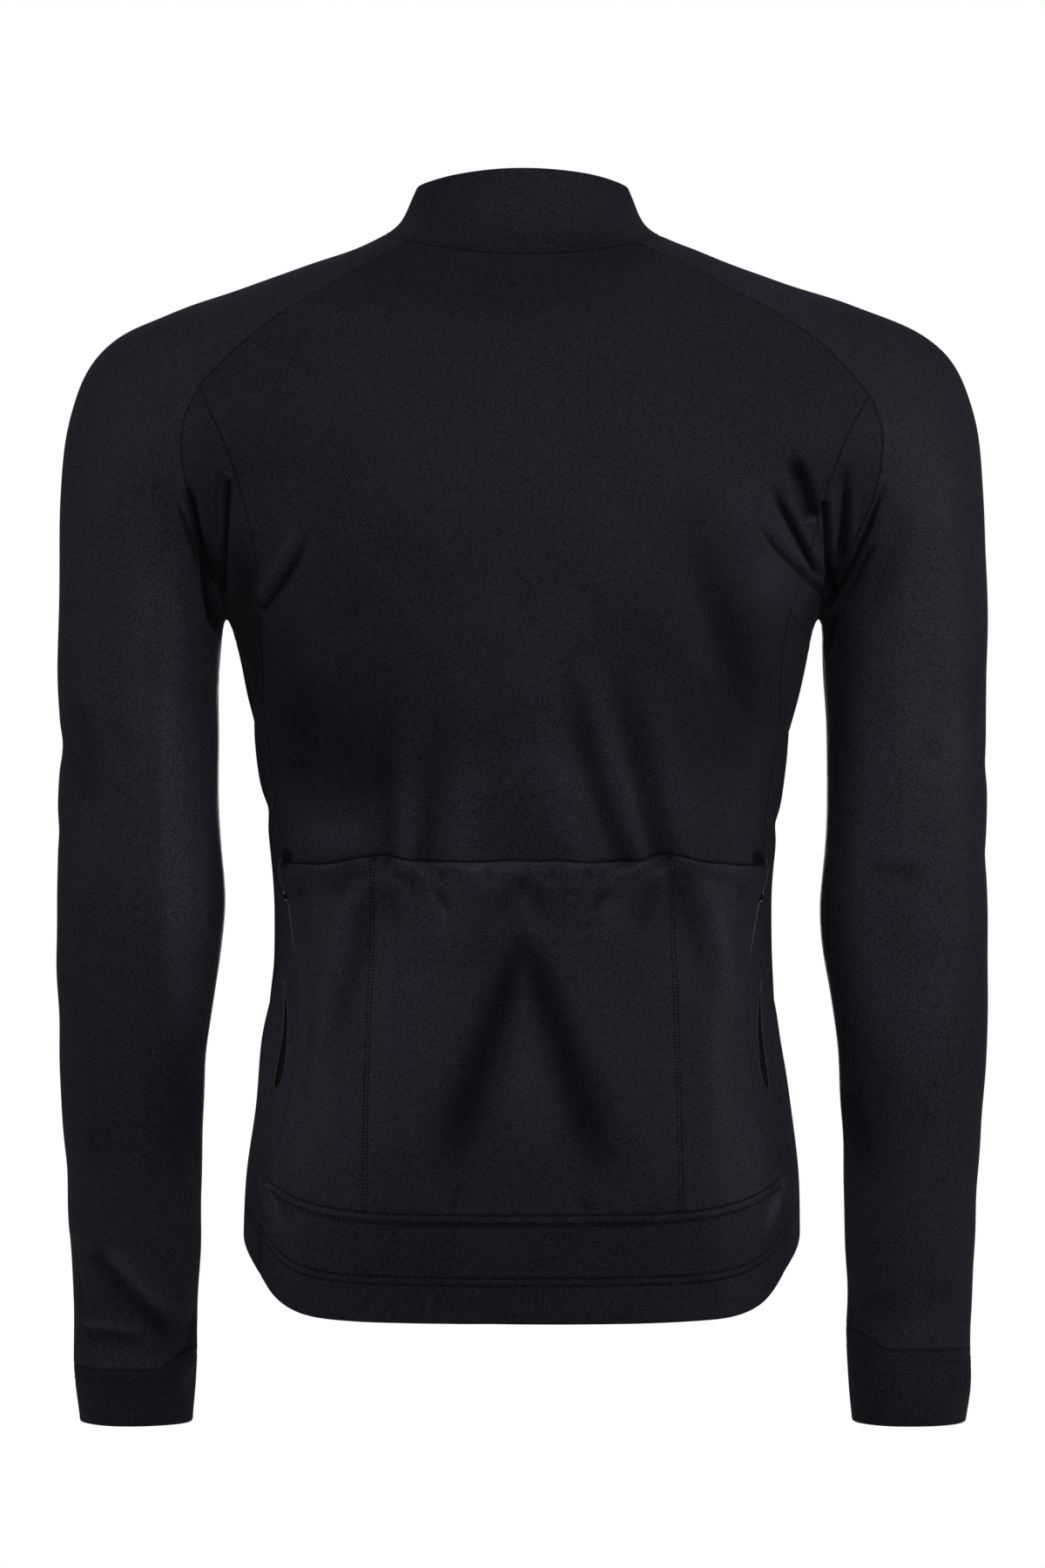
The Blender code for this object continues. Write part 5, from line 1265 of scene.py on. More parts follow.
@functools.lru_cache(maxsize=None)
def draped(name):
    """A piece's finished points, the way out, its plain grid and its painted light and shade."""
    base = base_grid(name)
    normals = outward(base)
    folds, painted_shading = fold_heights(base, normals)
    painted_shading += paint_light_and_shade_ovals(base, normals) + painted_line_shade(name, base)
    if name == "pocket_panel":
        relief = pocket_relief(base)
    elif name == "front_zip":
        relief = -TAPE_SINK
    else:
        relief = panel_relief(name, base)
    height = folds * bpy.context.scene.jersey.fold_depth + ripples(base) + relief
    points = run_on_edges(base, SEAM_LAP) + normals * height[..., None]
    return points, normals, base, painted_shading


# --- Materials ---

def shader(name, colour, roughness, metallic=0.0, specular=0.3, sheen=0.0):
    """A material with its Principled node set."""
    material = bpy.data.materials.new(name)
    material.use_nodes = True
    surface = material.node_tree.nodes["Principled BSDF"]
    surface.inputs["Base Color"].default_value = (*colour, 1)
    surface.inputs["Roughness"].default_value = roughness
    surface.inputs["Metallic"].default_value = metallic
    surface.inputs["Specular IOR Level"].default_value = specular
    surface.inputs["Sheen Weight"].default_value = sheen
    surface.inputs["Sheen Roughness"].default_value = 0.45
    surface.inputs["Sheen Tint"].default_value = (0.75, 0.80, 1.0, 1)
    return material, surface


def node(material, kind, **values):
    """A new node with its plain properties and its input sockets set by name."""
    made = material.node_tree.nodes.new(kind)
    for key, value in values.items():
        if hasattr(made, key):
            setattr(made, key, value)
        else:
            made.inputs[key.replace("_", " ")].default_value = value
    return made


def link(material, start, socket, end, input_name):
    """Join one node's output socket to another's input socket."""
    material.node_tree.links.new(start.outputs[socket], end.inputs[input_name])


def noise(material, place, scale, detail=2.0, roughness=0.5):
    """Noise over the object's own coordinates."""
    made = node(material, "ShaderNodeTexNoise", Scale=scale, Detail=detail,
                Roughness=roughness)
    link(material, place, "Object", made, "Vector")
    return made


def ribs(material, place, source, direction, scale, distortion):
    """Close ribs in one direction, over the object's own or the cloth's coordinates."""
    made = node(material, "ShaderNodeTexWave", wave_type="BANDS", bands_direction=direction,
                Scale=scale, Distortion=distortion, Detail=1.0)
    link(material, place, source, made, "Vector")
    return made


def spread_colour(material, surface, source, socket, colour, dark, light, low=0.3, high=0.7):
    """Base colour between a darker and a lighter shade by a texture's value."""
    steps = node(material, "ShaderNodeValToRGB")
    for element, place, factor in zip(steps.color_ramp.elements, (low, high), (dark, light)):
        element.position = place
        element.color = (*np.array(colour) * factor, 1)
    link(material, source, socket, steps, "Fac")
    link(material, steps, "Color", surface, "Base Color")


def bumped(material, surface, source, socket, strength, distance):
    """A small bump by a texture's value, on top of any bump that is there already."""
    bump = node(material, "ShaderNodeBump", Strength=strength, Distance=distance)
    link(material, source, socket, bump, "Height")
    for under in surface.inputs["Normal"].links[:]:
        link(material, under.from_node, "Normal", bump, "Normal")
    link(material, bump, "Normal", surface, "Normal")


def apply_painted_shading(material, surface, roughness):
    """Painted shade and light: the base colour darkened in fold hollows and seams, lightened on
    ridges and bright places, and rougher where darker.
    """
    depth = node(material, "ShaderNodeAttribute", attribute_name="painted_shading")
    power = node(material, "ShaderNodeMath", operation="POWER")
    power.inputs[0].default_value = PAINTED_SHADE_FACTOR
    link(material, depth, "Fac", power, 1)
    limit = node(material, "ShaderNodeClamp", Min=0.15, Max=1.8)
    link(material, power, 0, limit, "Value")
    scale = node(material, "ShaderNodeVectorMath", operation="SCALE")
    link(material, surface.inputs["Base Color"].links[0].from_node, "Color", scale, 0)
    link(material, limit, 0, scale, "Scale")
    link(material, scale, 0, surface, "Base Color")
    dull = node(material, "ShaderNodeMapRange", From_Min=0.4, From_Max=1.2, To_Min=0.85,
                To_Max=roughness - 0.04)
    link(material, limit, 0, dull, "Value")
    link(material, dull, 0, surface, "Roughness")


def knit(name, colour, roughness=0.54, sheen=0.06, specular=0.13, grain=1.0):
    """Fine warp knit: columns of small loops over a slow, uneven bloom, faintly shiny."""
    material, surface = shader(name, colour, roughness, 0.0, specular, sheen)
    place = node(material, "ShaderNodeTexCoord")
    fine = noise(material, place, 1050.0, 2.0, 0.7)
    coarse = noise(material, place, 9.0, 3.0, 0.55)
    blend = node(material, "ShaderNodeMix", data_type="FLOAT")
    blend.inputs[0].default_value = 0.12
    link(material, fine, "Fac", blend, 2)
    link(material, coarse, "Fac", blend, 3)
    spread_colour(material, surface, blend, 0, colour, 1 - 0.80 * grain, 1 + 0.95 * grain,
                  0.34, 0.66)
    # painted shade and light, from the attribute that the folds, seams and spots set
    apply_painted_shading(material, surface, roughness)
    loops = node(material, "ShaderNodeMath", operation="MULTIPLY")
    for socket, direction, scale in ((0, "X", 180.0), (1, "Y", 230.0)):
        link(material, ribs(material, place, "UV", direction, scale, 0.6), "Fac", loops, socket)
    bumped(material, surface, loops, 0, 0.16, 0.0004)
    bumped(material, surface, fine, "Fac", 0.30, 0.0005)
    return material


def plain_weave(name, colour, roughness=0.6):
    """Close woven tape with a small rib."""
    material, surface = shader(name, colour, roughness, 0.0, 0.12)
    place = node(material, "ShaderNodeTexCoord")
    spread_colour(material, surface, noise(material, place, 1400.0), "Fac", colour, 0.6, 1.5)
    bumped(material, surface, ribs(material, place, "Object", "Z", 420.0, 0.8), "Fac",
           0.3, 0.0003)
    return material


def smooth_finish(name, colour, roughness, metallic, specular=0.4):
    """Hard smooth stuff with faint uneven shine: moulded teeth or enamelled metal."""
    material, surface = shader(name, colour, roughness, metallic, specular)
    fine = noise(material, node(material, "ShaderNodeTexCoord"), 700.0, 3.0)
    spread_colour(material, surface, fine, "Fac", colour, 0.75, 1.3)
    bumped(material, surface, fine, "Fac", 0.12, 0.0002)
    return material


@functools.lru_cache(maxsize=None)
def material(kind):
    """The material of this kind, made when first asked for."""
    settings = bpy.context.scene.jersey
    body, sleeve = np.array(settings.body_colour), np.array(settings.sleeve_colour)
    makers = {
        "body": lambda: knit("knit_body", body),
        "side": lambda: knit("knit_side", body),
        "sleeve": lambda: knit("knit_sleeve", sleeve, 0.56, 0.09, 0.14),
        "pocket": lambda: knit("knit_pocket", body * 1.05, 0.52),
        "cuff": lambda: knit("knit_cuff", sleeve * 0.8, 0.62, 0.08, 0.12),
        "collar": lambda: knit("knit_collar", body * 1.1, 0.62, 0.08, 0.10),
        "thread": lambda: knit("thread", (0.005, 0.005, 0.007), 0.55, 0.05, 0.12, 0.4),
        "dark thread": lambda: knit("dark_thread", (0.002, 0.002, 0.003), 0.6, 0.02, 0.08, 0.4),
        "binding": lambda: knit("binding", (0.05, 0.052, 0.062), 0.5, 0.3, 0.3, 0.4),
        "tape": lambda: plain_weave("zip_tape", (0.006, 0.006, 0.007)),
        "teeth": lambda: smooth_finish("zip_teeth", (0.006, 0.006, 0.007), 0.5, 0.0, 0.2),
        "metal": lambda: smooth_finish("zip_metal", (0.02, 0.02, 0.022), 0.34, 0.8),
        "pale": lambda: smooth_finish("pale_enamel", (0.55, 0.56, 0.58), 0.4, 0.0),
    }
    return makers[kind]()


# --- Meshes ---

def mesh_object(name, vertices, faces, stuff, smooth=True):
    """An object from arrays of points and faces, all faces with the same corner count."""
    vertices = np.asarray(vertices, np.float32)
    faces = np.asarray(faces, np.int32)
    mesh = bpy.data.meshes.new(name)
    mesh.vertices.add(len(vertices))
    mesh.vertices.foreach_set("co", vertices.ravel())
    mesh.loops.add(faces.size)
    mesh.loops.foreach_set("vertex_index", faces.ravel())
    mesh.polygons.add(len(faces))
    corners = faces.shape[1]
    mesh.polygons.foreach_set("loop_start", np.arange(len(faces), dtype=np.int32) * corners)
    mesh.update(calc_edges=True)
    mesh.validate()
    mesh.polygons.foreach_set("use_smooth", np.full(len(mesh.polygons), smooth))
    mesh.materials.append(material(stuff))
    thing = bpy.data.objects.new(name, mesh)
    bpy.context.scene.collection.objects.link(thing)
    return thing


def placed(thing, body, slot, *nodes):
    """The piece rides its body and takes the place of the CAD nodes, which it hides. The slot is
    not used.
    """
    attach(thing, body)
    if nodes:
        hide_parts(*nodes)
    return thing


def fitted(name, parts, stuff, slot="knit", *nodes, smooth=True):
    """Several shapes as one piece of the jersey."""
    return placed(mesh_object(name, *gathered_up(parts), stuff, smooth), "jersey", slot, *nodes)


def lay_out(grid):
    """Distances across and down a grid of points, as UV places in metres."""
    down, _, across, _ = edge_distances(grid)
    return np.stack([across - across[:, -1:] / 2, -down], axis=-1)


def cloth(name, points, normals, base, painted_shading, stuff, thickness):
    """A panel: its grid outside, the same grid a thickness further in, and the rim."""
    run = np.cross(points[1, 1] - points[0, 1], points[1, 2] - points[1, 1])
    flat = lay_out(base)
    if np.dot(run, normals[1, 1]) < 0:
        points, normals, flat, painted_shading = (values[:, ::-1]
                                         for values in (points, normals, flat, painted_shading))
    rows, columns = points.shape[:2]
    inner = points - normals * thickness
    index = np.arange(rows * columns).reshape(rows, columns)
    quads = np.stack([index[:-1, :-1], index[1:, :-1], index[1:, 1:], index[:-1, 1:]], axis=-1)
    quads = quads.reshape(-1, 4)
    rim = np.concatenate([index[0, :], index[1:, -1], index[-1, -2::-1], index[-2:0:-1, 0]])
    after = np.roll(rim, -1)
    count = rows * columns
    sides = np.stack([rim, after, after + count, rim + count], axis=-1)
    faces = np.concatenate([quads, quads[:, ::-1] + count, sides])
    both = np.concatenate([points.reshape(-1, 3), inner.reshape(-1, 3)])
    thing = mesh_object(name, both, faces, stuff)
    thing.data.set_sharp_from_angle(angle=math.radians(55))
    layer = thing.data.uv_layers.new(name="cloth")
    corners = np.empty(len(thing.data.loops), np.int32)
    thing.data.loops.foreach_get("vertex_index", corners)
    places = np.tile(flat.reshape(-1, 2), (2, 1))[corners]
    layer.data.foreach_set("uv", places.astype(np.float32).ravel())
    # the painted shade and light, kept on each point for the material
    depth = thing.data.attributes.new("painted_shading", "FLOAT", "POINT")
    depth.data.foreach_set("value", np.tile(painted_shading.ravel(), 2).astype(np.float32))
    return thing


def panel(name, stuff, thickness=None):
    """One cloth panel in place of the CAD node of the same name; its flat width, length and area
    are worked out but not used.
    """
    points, normals, base, painted_shading = draped(name)
    thickness = thickness or bpy.context.scene.jersey.cloth_thickness
    thing = placed(cloth(name + "_cloth", points, normals, base, painted_shading, stuff, thickness),
                   "jersey", "knit", name)
    width = max(lengths(row)[-1] for row in base)
    length = max(lengths(column)[-1] for column in base.transpose(1, 0, 2)[::6])
    cells = np.cross(base[1:, :-1] - base[:-1, :-1], base[:-1, 1:] - base[:-1, :-1])
    area = float(np.linalg.norm(cells, axis=-1).sum())
    area = min(max(area, 0.301 * width * length), width * length)


# --- Small repeated shapes ---

def between_rings(index):
    """Two triangles for each gap between rings of points that close on themselves."""
    after = np.roll(index, -1, axis=1)
    quads = np.stack([index[:-1], after[:-1], after[1:], index[1:]], axis=-1).reshape(-1, 4)
    return np.concatenate([quads[:, :3], quads[:, [0, 2, 3]]])


def capped(rings, first, last):
    """Rings of points closed at both ends by a point each."""
    count, sides = rings.shape[:2]
    index = np.arange(count * sides).reshape(count, sides)
    after = np.roll(index, -1, axis=1)
    start = np.stack([after[0], index[0], np.full(sides, index.size)], axis=-1)
    end = np.stack([index[-1], after[-1], np.full(sides, index.size + 1)], axis=-1)
    return (np.vstack([rings.reshape(-1, 3), first, last]),
            np.concatenate([between_rings(index), start, end]))


def looped(rings):
    """Rings of points, the last joined to the first."""
    index = np.arange(rings.shape[0] * rings.shape[1]).reshape(rings.shape[:2])
    return rings.reshape(-1, 3), between_rings(np.vstack([index, index[:1]]))


def capsule(sides=4):
    """A unit spindle along X for one stitch: three rings and two tips."""
    turn = np.linspace(0, 2 * math.pi, sides, endpoint=False)
    x, size = np.array([(-0.36, 0.72), (0.0, 1.0), (0.36, 0.72)]).T[..., None]
    rings = xyz(x, size * np.cos(turn), size * np.sin(turn))
    return capped(rings, (-0.5, 0, 0), (0.5, 0, 0))


def tooth():
    """A small moulded tooth: a bevelled block one unit each way, flat at the back."""
    z, size = np.array([(-0.5, 1.0), (0.15, 1.0), (0.5, 0.62)]).T[..., None]
    x, y = np.array([(-0.5, -0.5), (0.5, -0.5), (0.5, 0.5), (-0.5, 0.5)]).T
    ends = [(0, 3, 2), (0, 2, 1), (8, 9, 10), (8, 10, 11)]
    faces = np.concatenate([ends, between_rings(np.arange(12).reshape(3, 4))])
    return xyz(x * size, y * size, z).reshape(-1, 3), faces


def repeated(template, centres, along, out, size):
    """Copies of a template: X along, Z out, Y across, scaled by size = (x, y, z)."""
    vertices, faces = template
    along = unit(along)
    across = unit(np.cross(out, along))
    frames = np.stack([along, across, np.cross(along, across)], axis=-2)
    points = centres[:, None] + (vertices * size) @ frames
    shift = np.arange(len(centres))[:, None, None] * len(vertices)
    return points.reshape(-1, 3), (faces + shift).reshape(-1, faces.shape[1])


def gathered_up(parts):
    """Several (points, faces) arrays as one."""
    points, faces, count = [], [], 0
    for some_points, some_faces in parts:
        points.append(some_points)
        faces.append(some_faces + count)
        count += len(some_points)
    return np.concatenate(points), np.concatenate(faces)


def stitched(line, out, pitch, radius, wobble=0.1):
    """A row of stitches along a line on the cloth, each turned a little its own way."""
    total = lengths(line)[-1]
    count = max(int(total / pitch), 2)
    at = (np.arange(count) + 0.5) * total / count
    way = unit(read_along(line, out, at))
    along = read_along(line, line, at + pitch * 0.4) - read_along(line, line, at - pitch * 0.4)
    turn = np.sin(np.arange(count) * 2.4)[:, None] * wobble
    return repeated(capsule(), read_along(line, line, at) + way * radius * 0.35,
                    along + np.cross(way, along) * turn, way,
                    (pitch * STITCH_SHARE, radius, radius))


def tube(line, radius, sides=8, closed=False):
    """A round cord along a line, with pointed ends unless it is closed."""
    ahead, behind = np.roll(line, -1, axis=0), np.roll(line, 1, axis=0)
    if not closed:
        ahead[-1], behind[0] = line[-1], line[0]
    along = unit(ahead - behind)
    across = unit(np.cross(along, (0.0, 1.0, 0.0)))
    up = np.cross(across, along)
    turn = np.linspace(0, 2 * math.pi, sides, endpoint=False)[:, None]
    size = np.broadcast_to(radius, len(line))[:, None, None]
    rings = line[:, None] + size * (np.cos(turn) * across[:, None] + np.sin(turn) * up[:, None])
    return looped(rings) if closed else capped(rings, line[0], line[-1])


# --- Pieces ---

def build_body():
    """Back, two fronts, side panels and the gussets under the arms."""
    panel("back_panel", "body")
    for side in ("left", "right"):
        panel("front_" + side, "body")
        panel("side_" + side, "side")
        panel("gusset_" + side, "side")


def build_sleeves():
    """The two sleeves and their cuffs."""
    for side in ("left", "right"):
        panel("sleeve_" + side, "sleeve")
        panel("cuff_" + side, "cuff")


def build_collar():
    """The stand collar."""
    panel("collar", "collar", COLLAR_THICKNESS)


def build_sewing():
    """Stitches along the hem, pocket, cuffs, collar and zip, in one piece of thread."""
    settings = bpy.context.scene.jersey
    pitch, radius = settings.stitch_pitch, settings.thread_radius
    parts = []
    for name in ("back_panel", "front_left", "front_right", "side_left", "side_right",
                 "pocket_panel", "cuff_left", "cuff_right", "collar"):
        points, normals, _, _ = draped(name)
        short, thin = {"cuff": (0, 0.9), "collar": (2, 0.9)}.get(piece_of(name), (1, 1.0))
        inside = slice(short, points.shape[1] - short)
        for row in stitched_rows(piece_of(name)):
            parts.append(stitched(points[row, inside], normals[row, inside], pitch,
                                  radius * thin))
    for name in ("front_left", "front_right"):
        points, normals, base, _ = draped(name)
        column = nearest(lengths(base[ZIP_LINE_ROW]), ZIP_LINE)
        parts.append(stitched(points[2:-2, column], normals[2:-2, column], pitch, radius, 0.0))
    fitted("thread", parts, "thread")
    build_partitions(radius * 2.1)


def on_pocket(x, z):
    """Where the draped pocket layer is at these places, and the way out there."""
    points, normals, base, _ = draped("pocket_panel")
    flat = base[..., (0, 2)].reshape(-1, 2)
    found, ways = [], []
    for place in np.stack([x, z], axis=-1):
        near = np.argsort(np.sum((flat - place) ** 2, axis=1))[:4]
        gap = np.linalg.norm(flat[near] - place, axis=1) + 1e-6
        weight = (1 / gap) / np.sum(1 / gap)
        shift = place - weight @ flat[near]
        found.append(weight @ points.reshape(-1, 3)[near] + (shift[0], 0, shift[1]))
        ways.append(weight @ normals.reshape(-1, 3)[near])
    return np.array(found), np.array(ways)


def build_partitions(radius):
    """Twin rows of stitches down the two lines between the pockets, barred at their tops."""
    z = np.arange(*TWIN_SPAN, -0.0022)
    parts = []
    for sign in (-1, 1):
        for row in (-TWIN_HALF_WIDTH, TWIN_HALF_WIDTH):
            line, out = on_pocket(sign * partition_x(z) + row, z)
            parts.append(stitched(line, out, TWIN_PITCH, radius))
        for top in BAR_HEIGHTS:
            bar, out = on_pocket(sign * BAR_X + np.linspace(-0.0018, 0.0018, 3), np.full(3, top))
            parts.append(repeated(capsule(), bar[1:2] + out[1:2] * radius * 0.5,
                                  bar[2] - bar[0], out[1],
                                  (0.0050, radius * 0.8, radius * 0.8)))
    fitted("partition_thread", parts, "dark thread")


def build_pocket():
    """The pocket layer across the back, its bound side edges and the two small tabs."""
    panel("pocket_panel", "pocket")
    points, normals, _, _ = draped("pocket_panel")
    bindings, tabs, specks = [], [], []
    for column in (0, -1):
        edge, ways = points[:, column], normals[:, column]
        line = (edge + ways * 0.0002)[1:][edge[1:, 2] > BINDING_END]
        fade = np.clip((line[:, 2] - BINDING_END) / 0.02, 0.15, 1)
        bindings.append(tube(line, BINDING_RADIUS * fade))
        row = nearest(edge[:, 2], TAB_Z)
        out, along = ways[row], edge[row + 2] - edge[row - 2]
        centre = edge[row] + out * 0.0009
        tabs.append(repeated(tooth(), centre[None], along, out, (*TAB_SIZE, 0.0010)))
        step = unit(along) * TAB_SIZE[0] * 0.43
        spots = centre + out * 0.0005 + step * np.array([[-1], [1]])
        specks.append(repeated(capsule(), spots, along, out, SPECK_SIZE))
    fitted("pocket_binding", bindings, "binding")
    fitted("pocket_tabs", tabs, "dark thread")
    fitted("tab_specks", specks, "pale")


def build_zip():
    """The front zip: its tape, sunk behind the fronts, and two rows of teeth."""
    points, normals, base, painted_shading = draped("front_zip")
    tape = cloth("front_zip_tape", points, normals, base, painted_shading, "tape", 0.0008)
    placed(tape, "jersey", "zip_tape", "front_zip")
    middle = points.shape[1] // 2
    line, out = points[:, middle], normals[:, middle]
    count = int(lengths(line)[-1] / TOOTH_PITCH) - 2
    parts = []
    for side, shift in ((-1, 0.5), (1, 1.0)):
        at = (np.arange(count) + shift) * TOOTH_PITCH + 0.001
        centre, way = read_along(line, line, at), read_along(line, out, at)
        along = read_along(line, line, at + 5e-4) - centre
        apart = 1 + ramp(centre[:, 2] - SLIDER_Z, 0.001, 0.010)
        centre = centre + xyz(side * 0.0009 * apart, 0, 0) + way * 0.0004
        parts.append(repeated(tooth(), centre, along, way, (0.00105, 0.0021, 0.0011)))
    fitted("front_zip_teeth", parts, "teeth", "zip_tape", smooth=False)


def slit_surface(count, side):
    """The cloth that a side zip takes up, as rows down it, and the way out."""
    where = np.linspace(0, 1, count)
    line = curve_through(on_face(*np.array(SIDE_ZIP).T, 1), where)
    half = np.interp(where, *np.array(SLIT_HALF_WIDTH).T)[:, None]
    flat = on_face(line[:, :1] + half * np.linspace(-1, 1, 9), line[:, 2:], 1)
    normals = outward(flat)
    if side == "right":
        flat, normals = flat * (-1, 1, 1), normals * (-1, 1, 1)
    depth = bpy.context.scene.jersey.fold_depth
    height = fold_heights(flat, normals)[0] * depth + ripples(flat)
    return flat + normals * height[..., None], normals


def build_side_zips():
    """The two short zips beside the pockets: a dark strip, its teeth and a fine rim."""
    for side in ("left", "right"):
        strip, out = slit_surface(61, side)
        raised = strip + out * 0.0003
        loop = np.concatenate([raised[:, 0], raised[::-1, -1]])
        fitted("side_zip_rim_" + side, [tube(loop, SLIT_RIM, closed=True)], "binding")
        tape = cloth("side_zip_tape_" + side, raised, out, strip, 0 * strip[..., 0], "tape",
                     0.0006)
        placed(tape, "jersey", "zip_tape", "side_zip_" + side)
        at = np.arange(34, 58, 3)
        along = np.gradient(strip[:, 4], axis=0)[at]
        teeth = repeated(tooth(), strip[at, 4] + out[at, 4] * 0.0006, along, out[at, 4],
                         (0.0010, 0.0052, 0.0007))
        fitted("side_zip_teeth_" + side, [teeth], "teeth", "zip_tape", smooth=False)


def hinge_place():
    """Where the pull's pin is: chain along Z, outward along -Y and the pin at the origin."""
    seat = on_face(0.0, SLIDER_Z, -1)
    out = Vector(outward(seat))
    right = Vector((1, 0, 0))
    turn = Matrix((right, -out, right.cross(-out))).transposed().to_4x4()
    turn.translation = Vector(seat) + out * PIN_OUT
    return turn


def slab(outline, centre_y, thickness, bevel):
    """A plate with rounded edges from an outline in X and Z, thick along Y."""
    outline = np.array(outline)
    middle = outline.mean(axis=0)
    inward = unit(middle - outline)
    rings = [xyz(x, centre_y + y * thickness, z)
             for y, shrink in ((-0.5, bevel), (-0.28, 0.0), (0.28, 0.0), (0.5, bevel))
             for x, z in ((outline + inward * shrink).T,)]
    ends = [(middle[0], centre_y + y * thickness, middle[1]) for y in (-0.5, 0.5)]
    return capped(np.array(rings), *ends)


def tab_outline(count):
    """The pull tab's outline: a neck that widens to a grip with a round end."""
    z = PULL_LENGTH * (np.cos(np.linspace(0, math.pi, count)) - 1) / 2
    wide = PULL_NECK_HALF + (PULL_GRIP_HALF - PULL_NECK_HALF) * ramp(-z, *PULL_SHOULDER)
    end = np.clip((z + PULL_LENGTH) / PULL_GRIP_HALF, 0, 1)
    wide = wide * np.sqrt(1 - (1 - end) ** 2)
    top = np.clip(-z / 0.0008, 0, 1)
    wide = wide * np.sqrt(1 - (1 - top) ** 2 * 0.6)
    return np.concatenate([np.stack([-wide, z], axis=-1),
                           np.stack([wide, z], axis=-1)[::-1][1:-1]])


def ring_plate(outer, inner, thickness, bevel):
    """A plate with a hole: both outlines in X and Z, eight rings round its section."""
    way = unit(outer - inner)
    half = thickness / 2
    section = ((inner, bevel, -half), (outer, -bevel, -half), (outer, 0, -half + bevel),
               (outer, 0, half - bevel), (outer, -bevel, half), (inner, bevel, half),
               (inner, 0, half - bevel), (inner, 0, -half + bevel))
    rings = [xyz(x, y, z) for outline, shift, y in section
             for x, z in ((outline + way * shift).T,)]
    return looped(np.array(rings))


def metal_piece(name, parts, turn, body, node):
    """Several shapes as one metal piece, moved by a matrix, in place of a CAD node."""
    points, faces = gathered_up(parts)
    world = np.array(turn)
    thing = mesh_object(name, points @ world[:3, :3].T + world[:3, 3], faces, "metal")
    thing.data.set_sharp_from_angle(angle=math.radians(40))
    placed(thing, body, "zip_metal", node)


def build_slider():
    """The slider at the collar and its pull tab, in place of the two CAD pieces."""
    turn = hinge_place()
    z = np.linspace(-1, 1, 13)
    right = np.stack([0.0043 - 0.0011 * ramp(-z, -0.1, 1) - 0.0012 * np.abs(z) ** 6,
                      z * 0.00475], axis=-1)
    outline = np.concatenate([right, right[::-1] * (-1, 1)])
    plates = [slab(outline, PLATE_Y + shift, 0.00085, 0.0004) for shift in (-0.00057, 0.00057)]
    wedge = [(-0.0011, 0.0036), (0.0, -0.0006), (0.0011, 0.0036)]
    plates.append(slab(wedge, PLATE_Y, 0.0006, 0.0001))
    arch = np.linspace(0, math.pi, 15)
    cheek = np.stack([np.cos(arch) * 0.0020, np.sin(arch) * 0.0019], axis=-1)
    low = [(-0.0020, -0.0008), (0.0020, -0.0008)]
    points, faces = slab(np.concatenate([cheek, low]), 0.0, 0.0009, 0.0002)
    length, across, out = points.T
    for x in (-0.0024, 0.0024):
        plates.append((xyz(across + x, PLATE_Y - 0.0018 - out, length), faces))
    metal_piece("slider_body", plates, turn, "jersey", "zip_slider")
    outer = tab_outline(26)
    centre = np.array([0.0, PULL_HOLE[0]])
    angle = np.arctan2(outer[:, 1] - centre[1], outer[:, 0])
    hole = centre + np.stack([np.cos(angle), np.sin(angle)], axis=-1) * PULL_HOLE[1:]
    if np.cross(outer[1] - outer[0], outer[2] - outer[1]) > 0:
        outer, hole = outer[::-1], hole[::-1]
    rod = xyz(np.linspace(-1, 1, 9) * 0.0016, 0.0, 0.0)
    size = 0.0009 * np.array([0.7, 0.95, 1, 1, 1, 1, 1, 0.95, 0.7])
    metal_piece("pull_tab", [ring_plate(outer, hole, 0.0011, 0.0003), tube(rod, size, 14)],
                turn @ Matrix.Rotation(PULL_LEAN, 4, "X"), "pull", "zip_pull")


# --- Stage ---

def lamp(name, place, aim, size, power, spread):
    """A soft rectangular light that the camera doesn't see."""
    light = bpy.data.lights.new(name, "AREA")
    light.shape = "RECTANGLE"
    light.size, light.size_y = size
    light.energy = power
    light.spread = math.radians(spread)
    thing = bpy.data.objects.new(name, light)
    thing.location = place
    thing.rotation_euler = (Vector(aim) - Vector(place)).to_track_quat("-Z", "Y").to_euler()
    thing.visible_camera = False
    bpy.context.scene.collection.objects.link(thing)


def build_stage():
    """White floor and surroundings, soft lights, the camera and the colour handling."""
    scene = bpy.context.scene
    world = bpy.data.worlds.new("surroundings")
    world.use_nodes = True
    world.node_tree.nodes["Background"].inputs["Color"].default_value = (1, 1, 1, 1)
    world.node_tree.nodes["Background"].inputs["Strength"].default_value = 1.0
    scene.world = world
    for ray in ("diffuse", "glossy", "transmission", "scatter"):
        setattr(world.cycles_visibility, ray, False)
    floor_mesh = bpy.data.meshes.new("floor")
    floor_mesh.from_pydata([(x * FLOOR_HALF, y * FLOOR_HALF, FLOOR_Z)
                            for x, y in ((-1, -1), (1, -1), (1, 1), (-1, 1))], [],
                           [(0, 1, 2, 3)])
    stuff, _ = shader("floor", (0.9, 0.9, 0.9), 0.8)
    floor_mesh.materials.append(stuff)
    floor = bpy.data.objects.new("floor", floor_mesh)
    scene.collection.objects.link(floor)
    for settings in LAMPS:
        lamp(*settings)
    camera = bpy.data.cameras.new("camera")
    camera.lens = 100
    camera.sensor_width = 36
    camera.clip_end = 50
    viewer = bpy.data.objects.new("camera", camera)
    viewer.location = CAMERA_PLACE
    viewer.rotation_euler = (math.pi / 2, 0, math.pi)
    scene.collection.objects.link(viewer)
    scene.camera = viewer
    scene.view_settings.view_transform = "Standard"


# --- Add-on ---

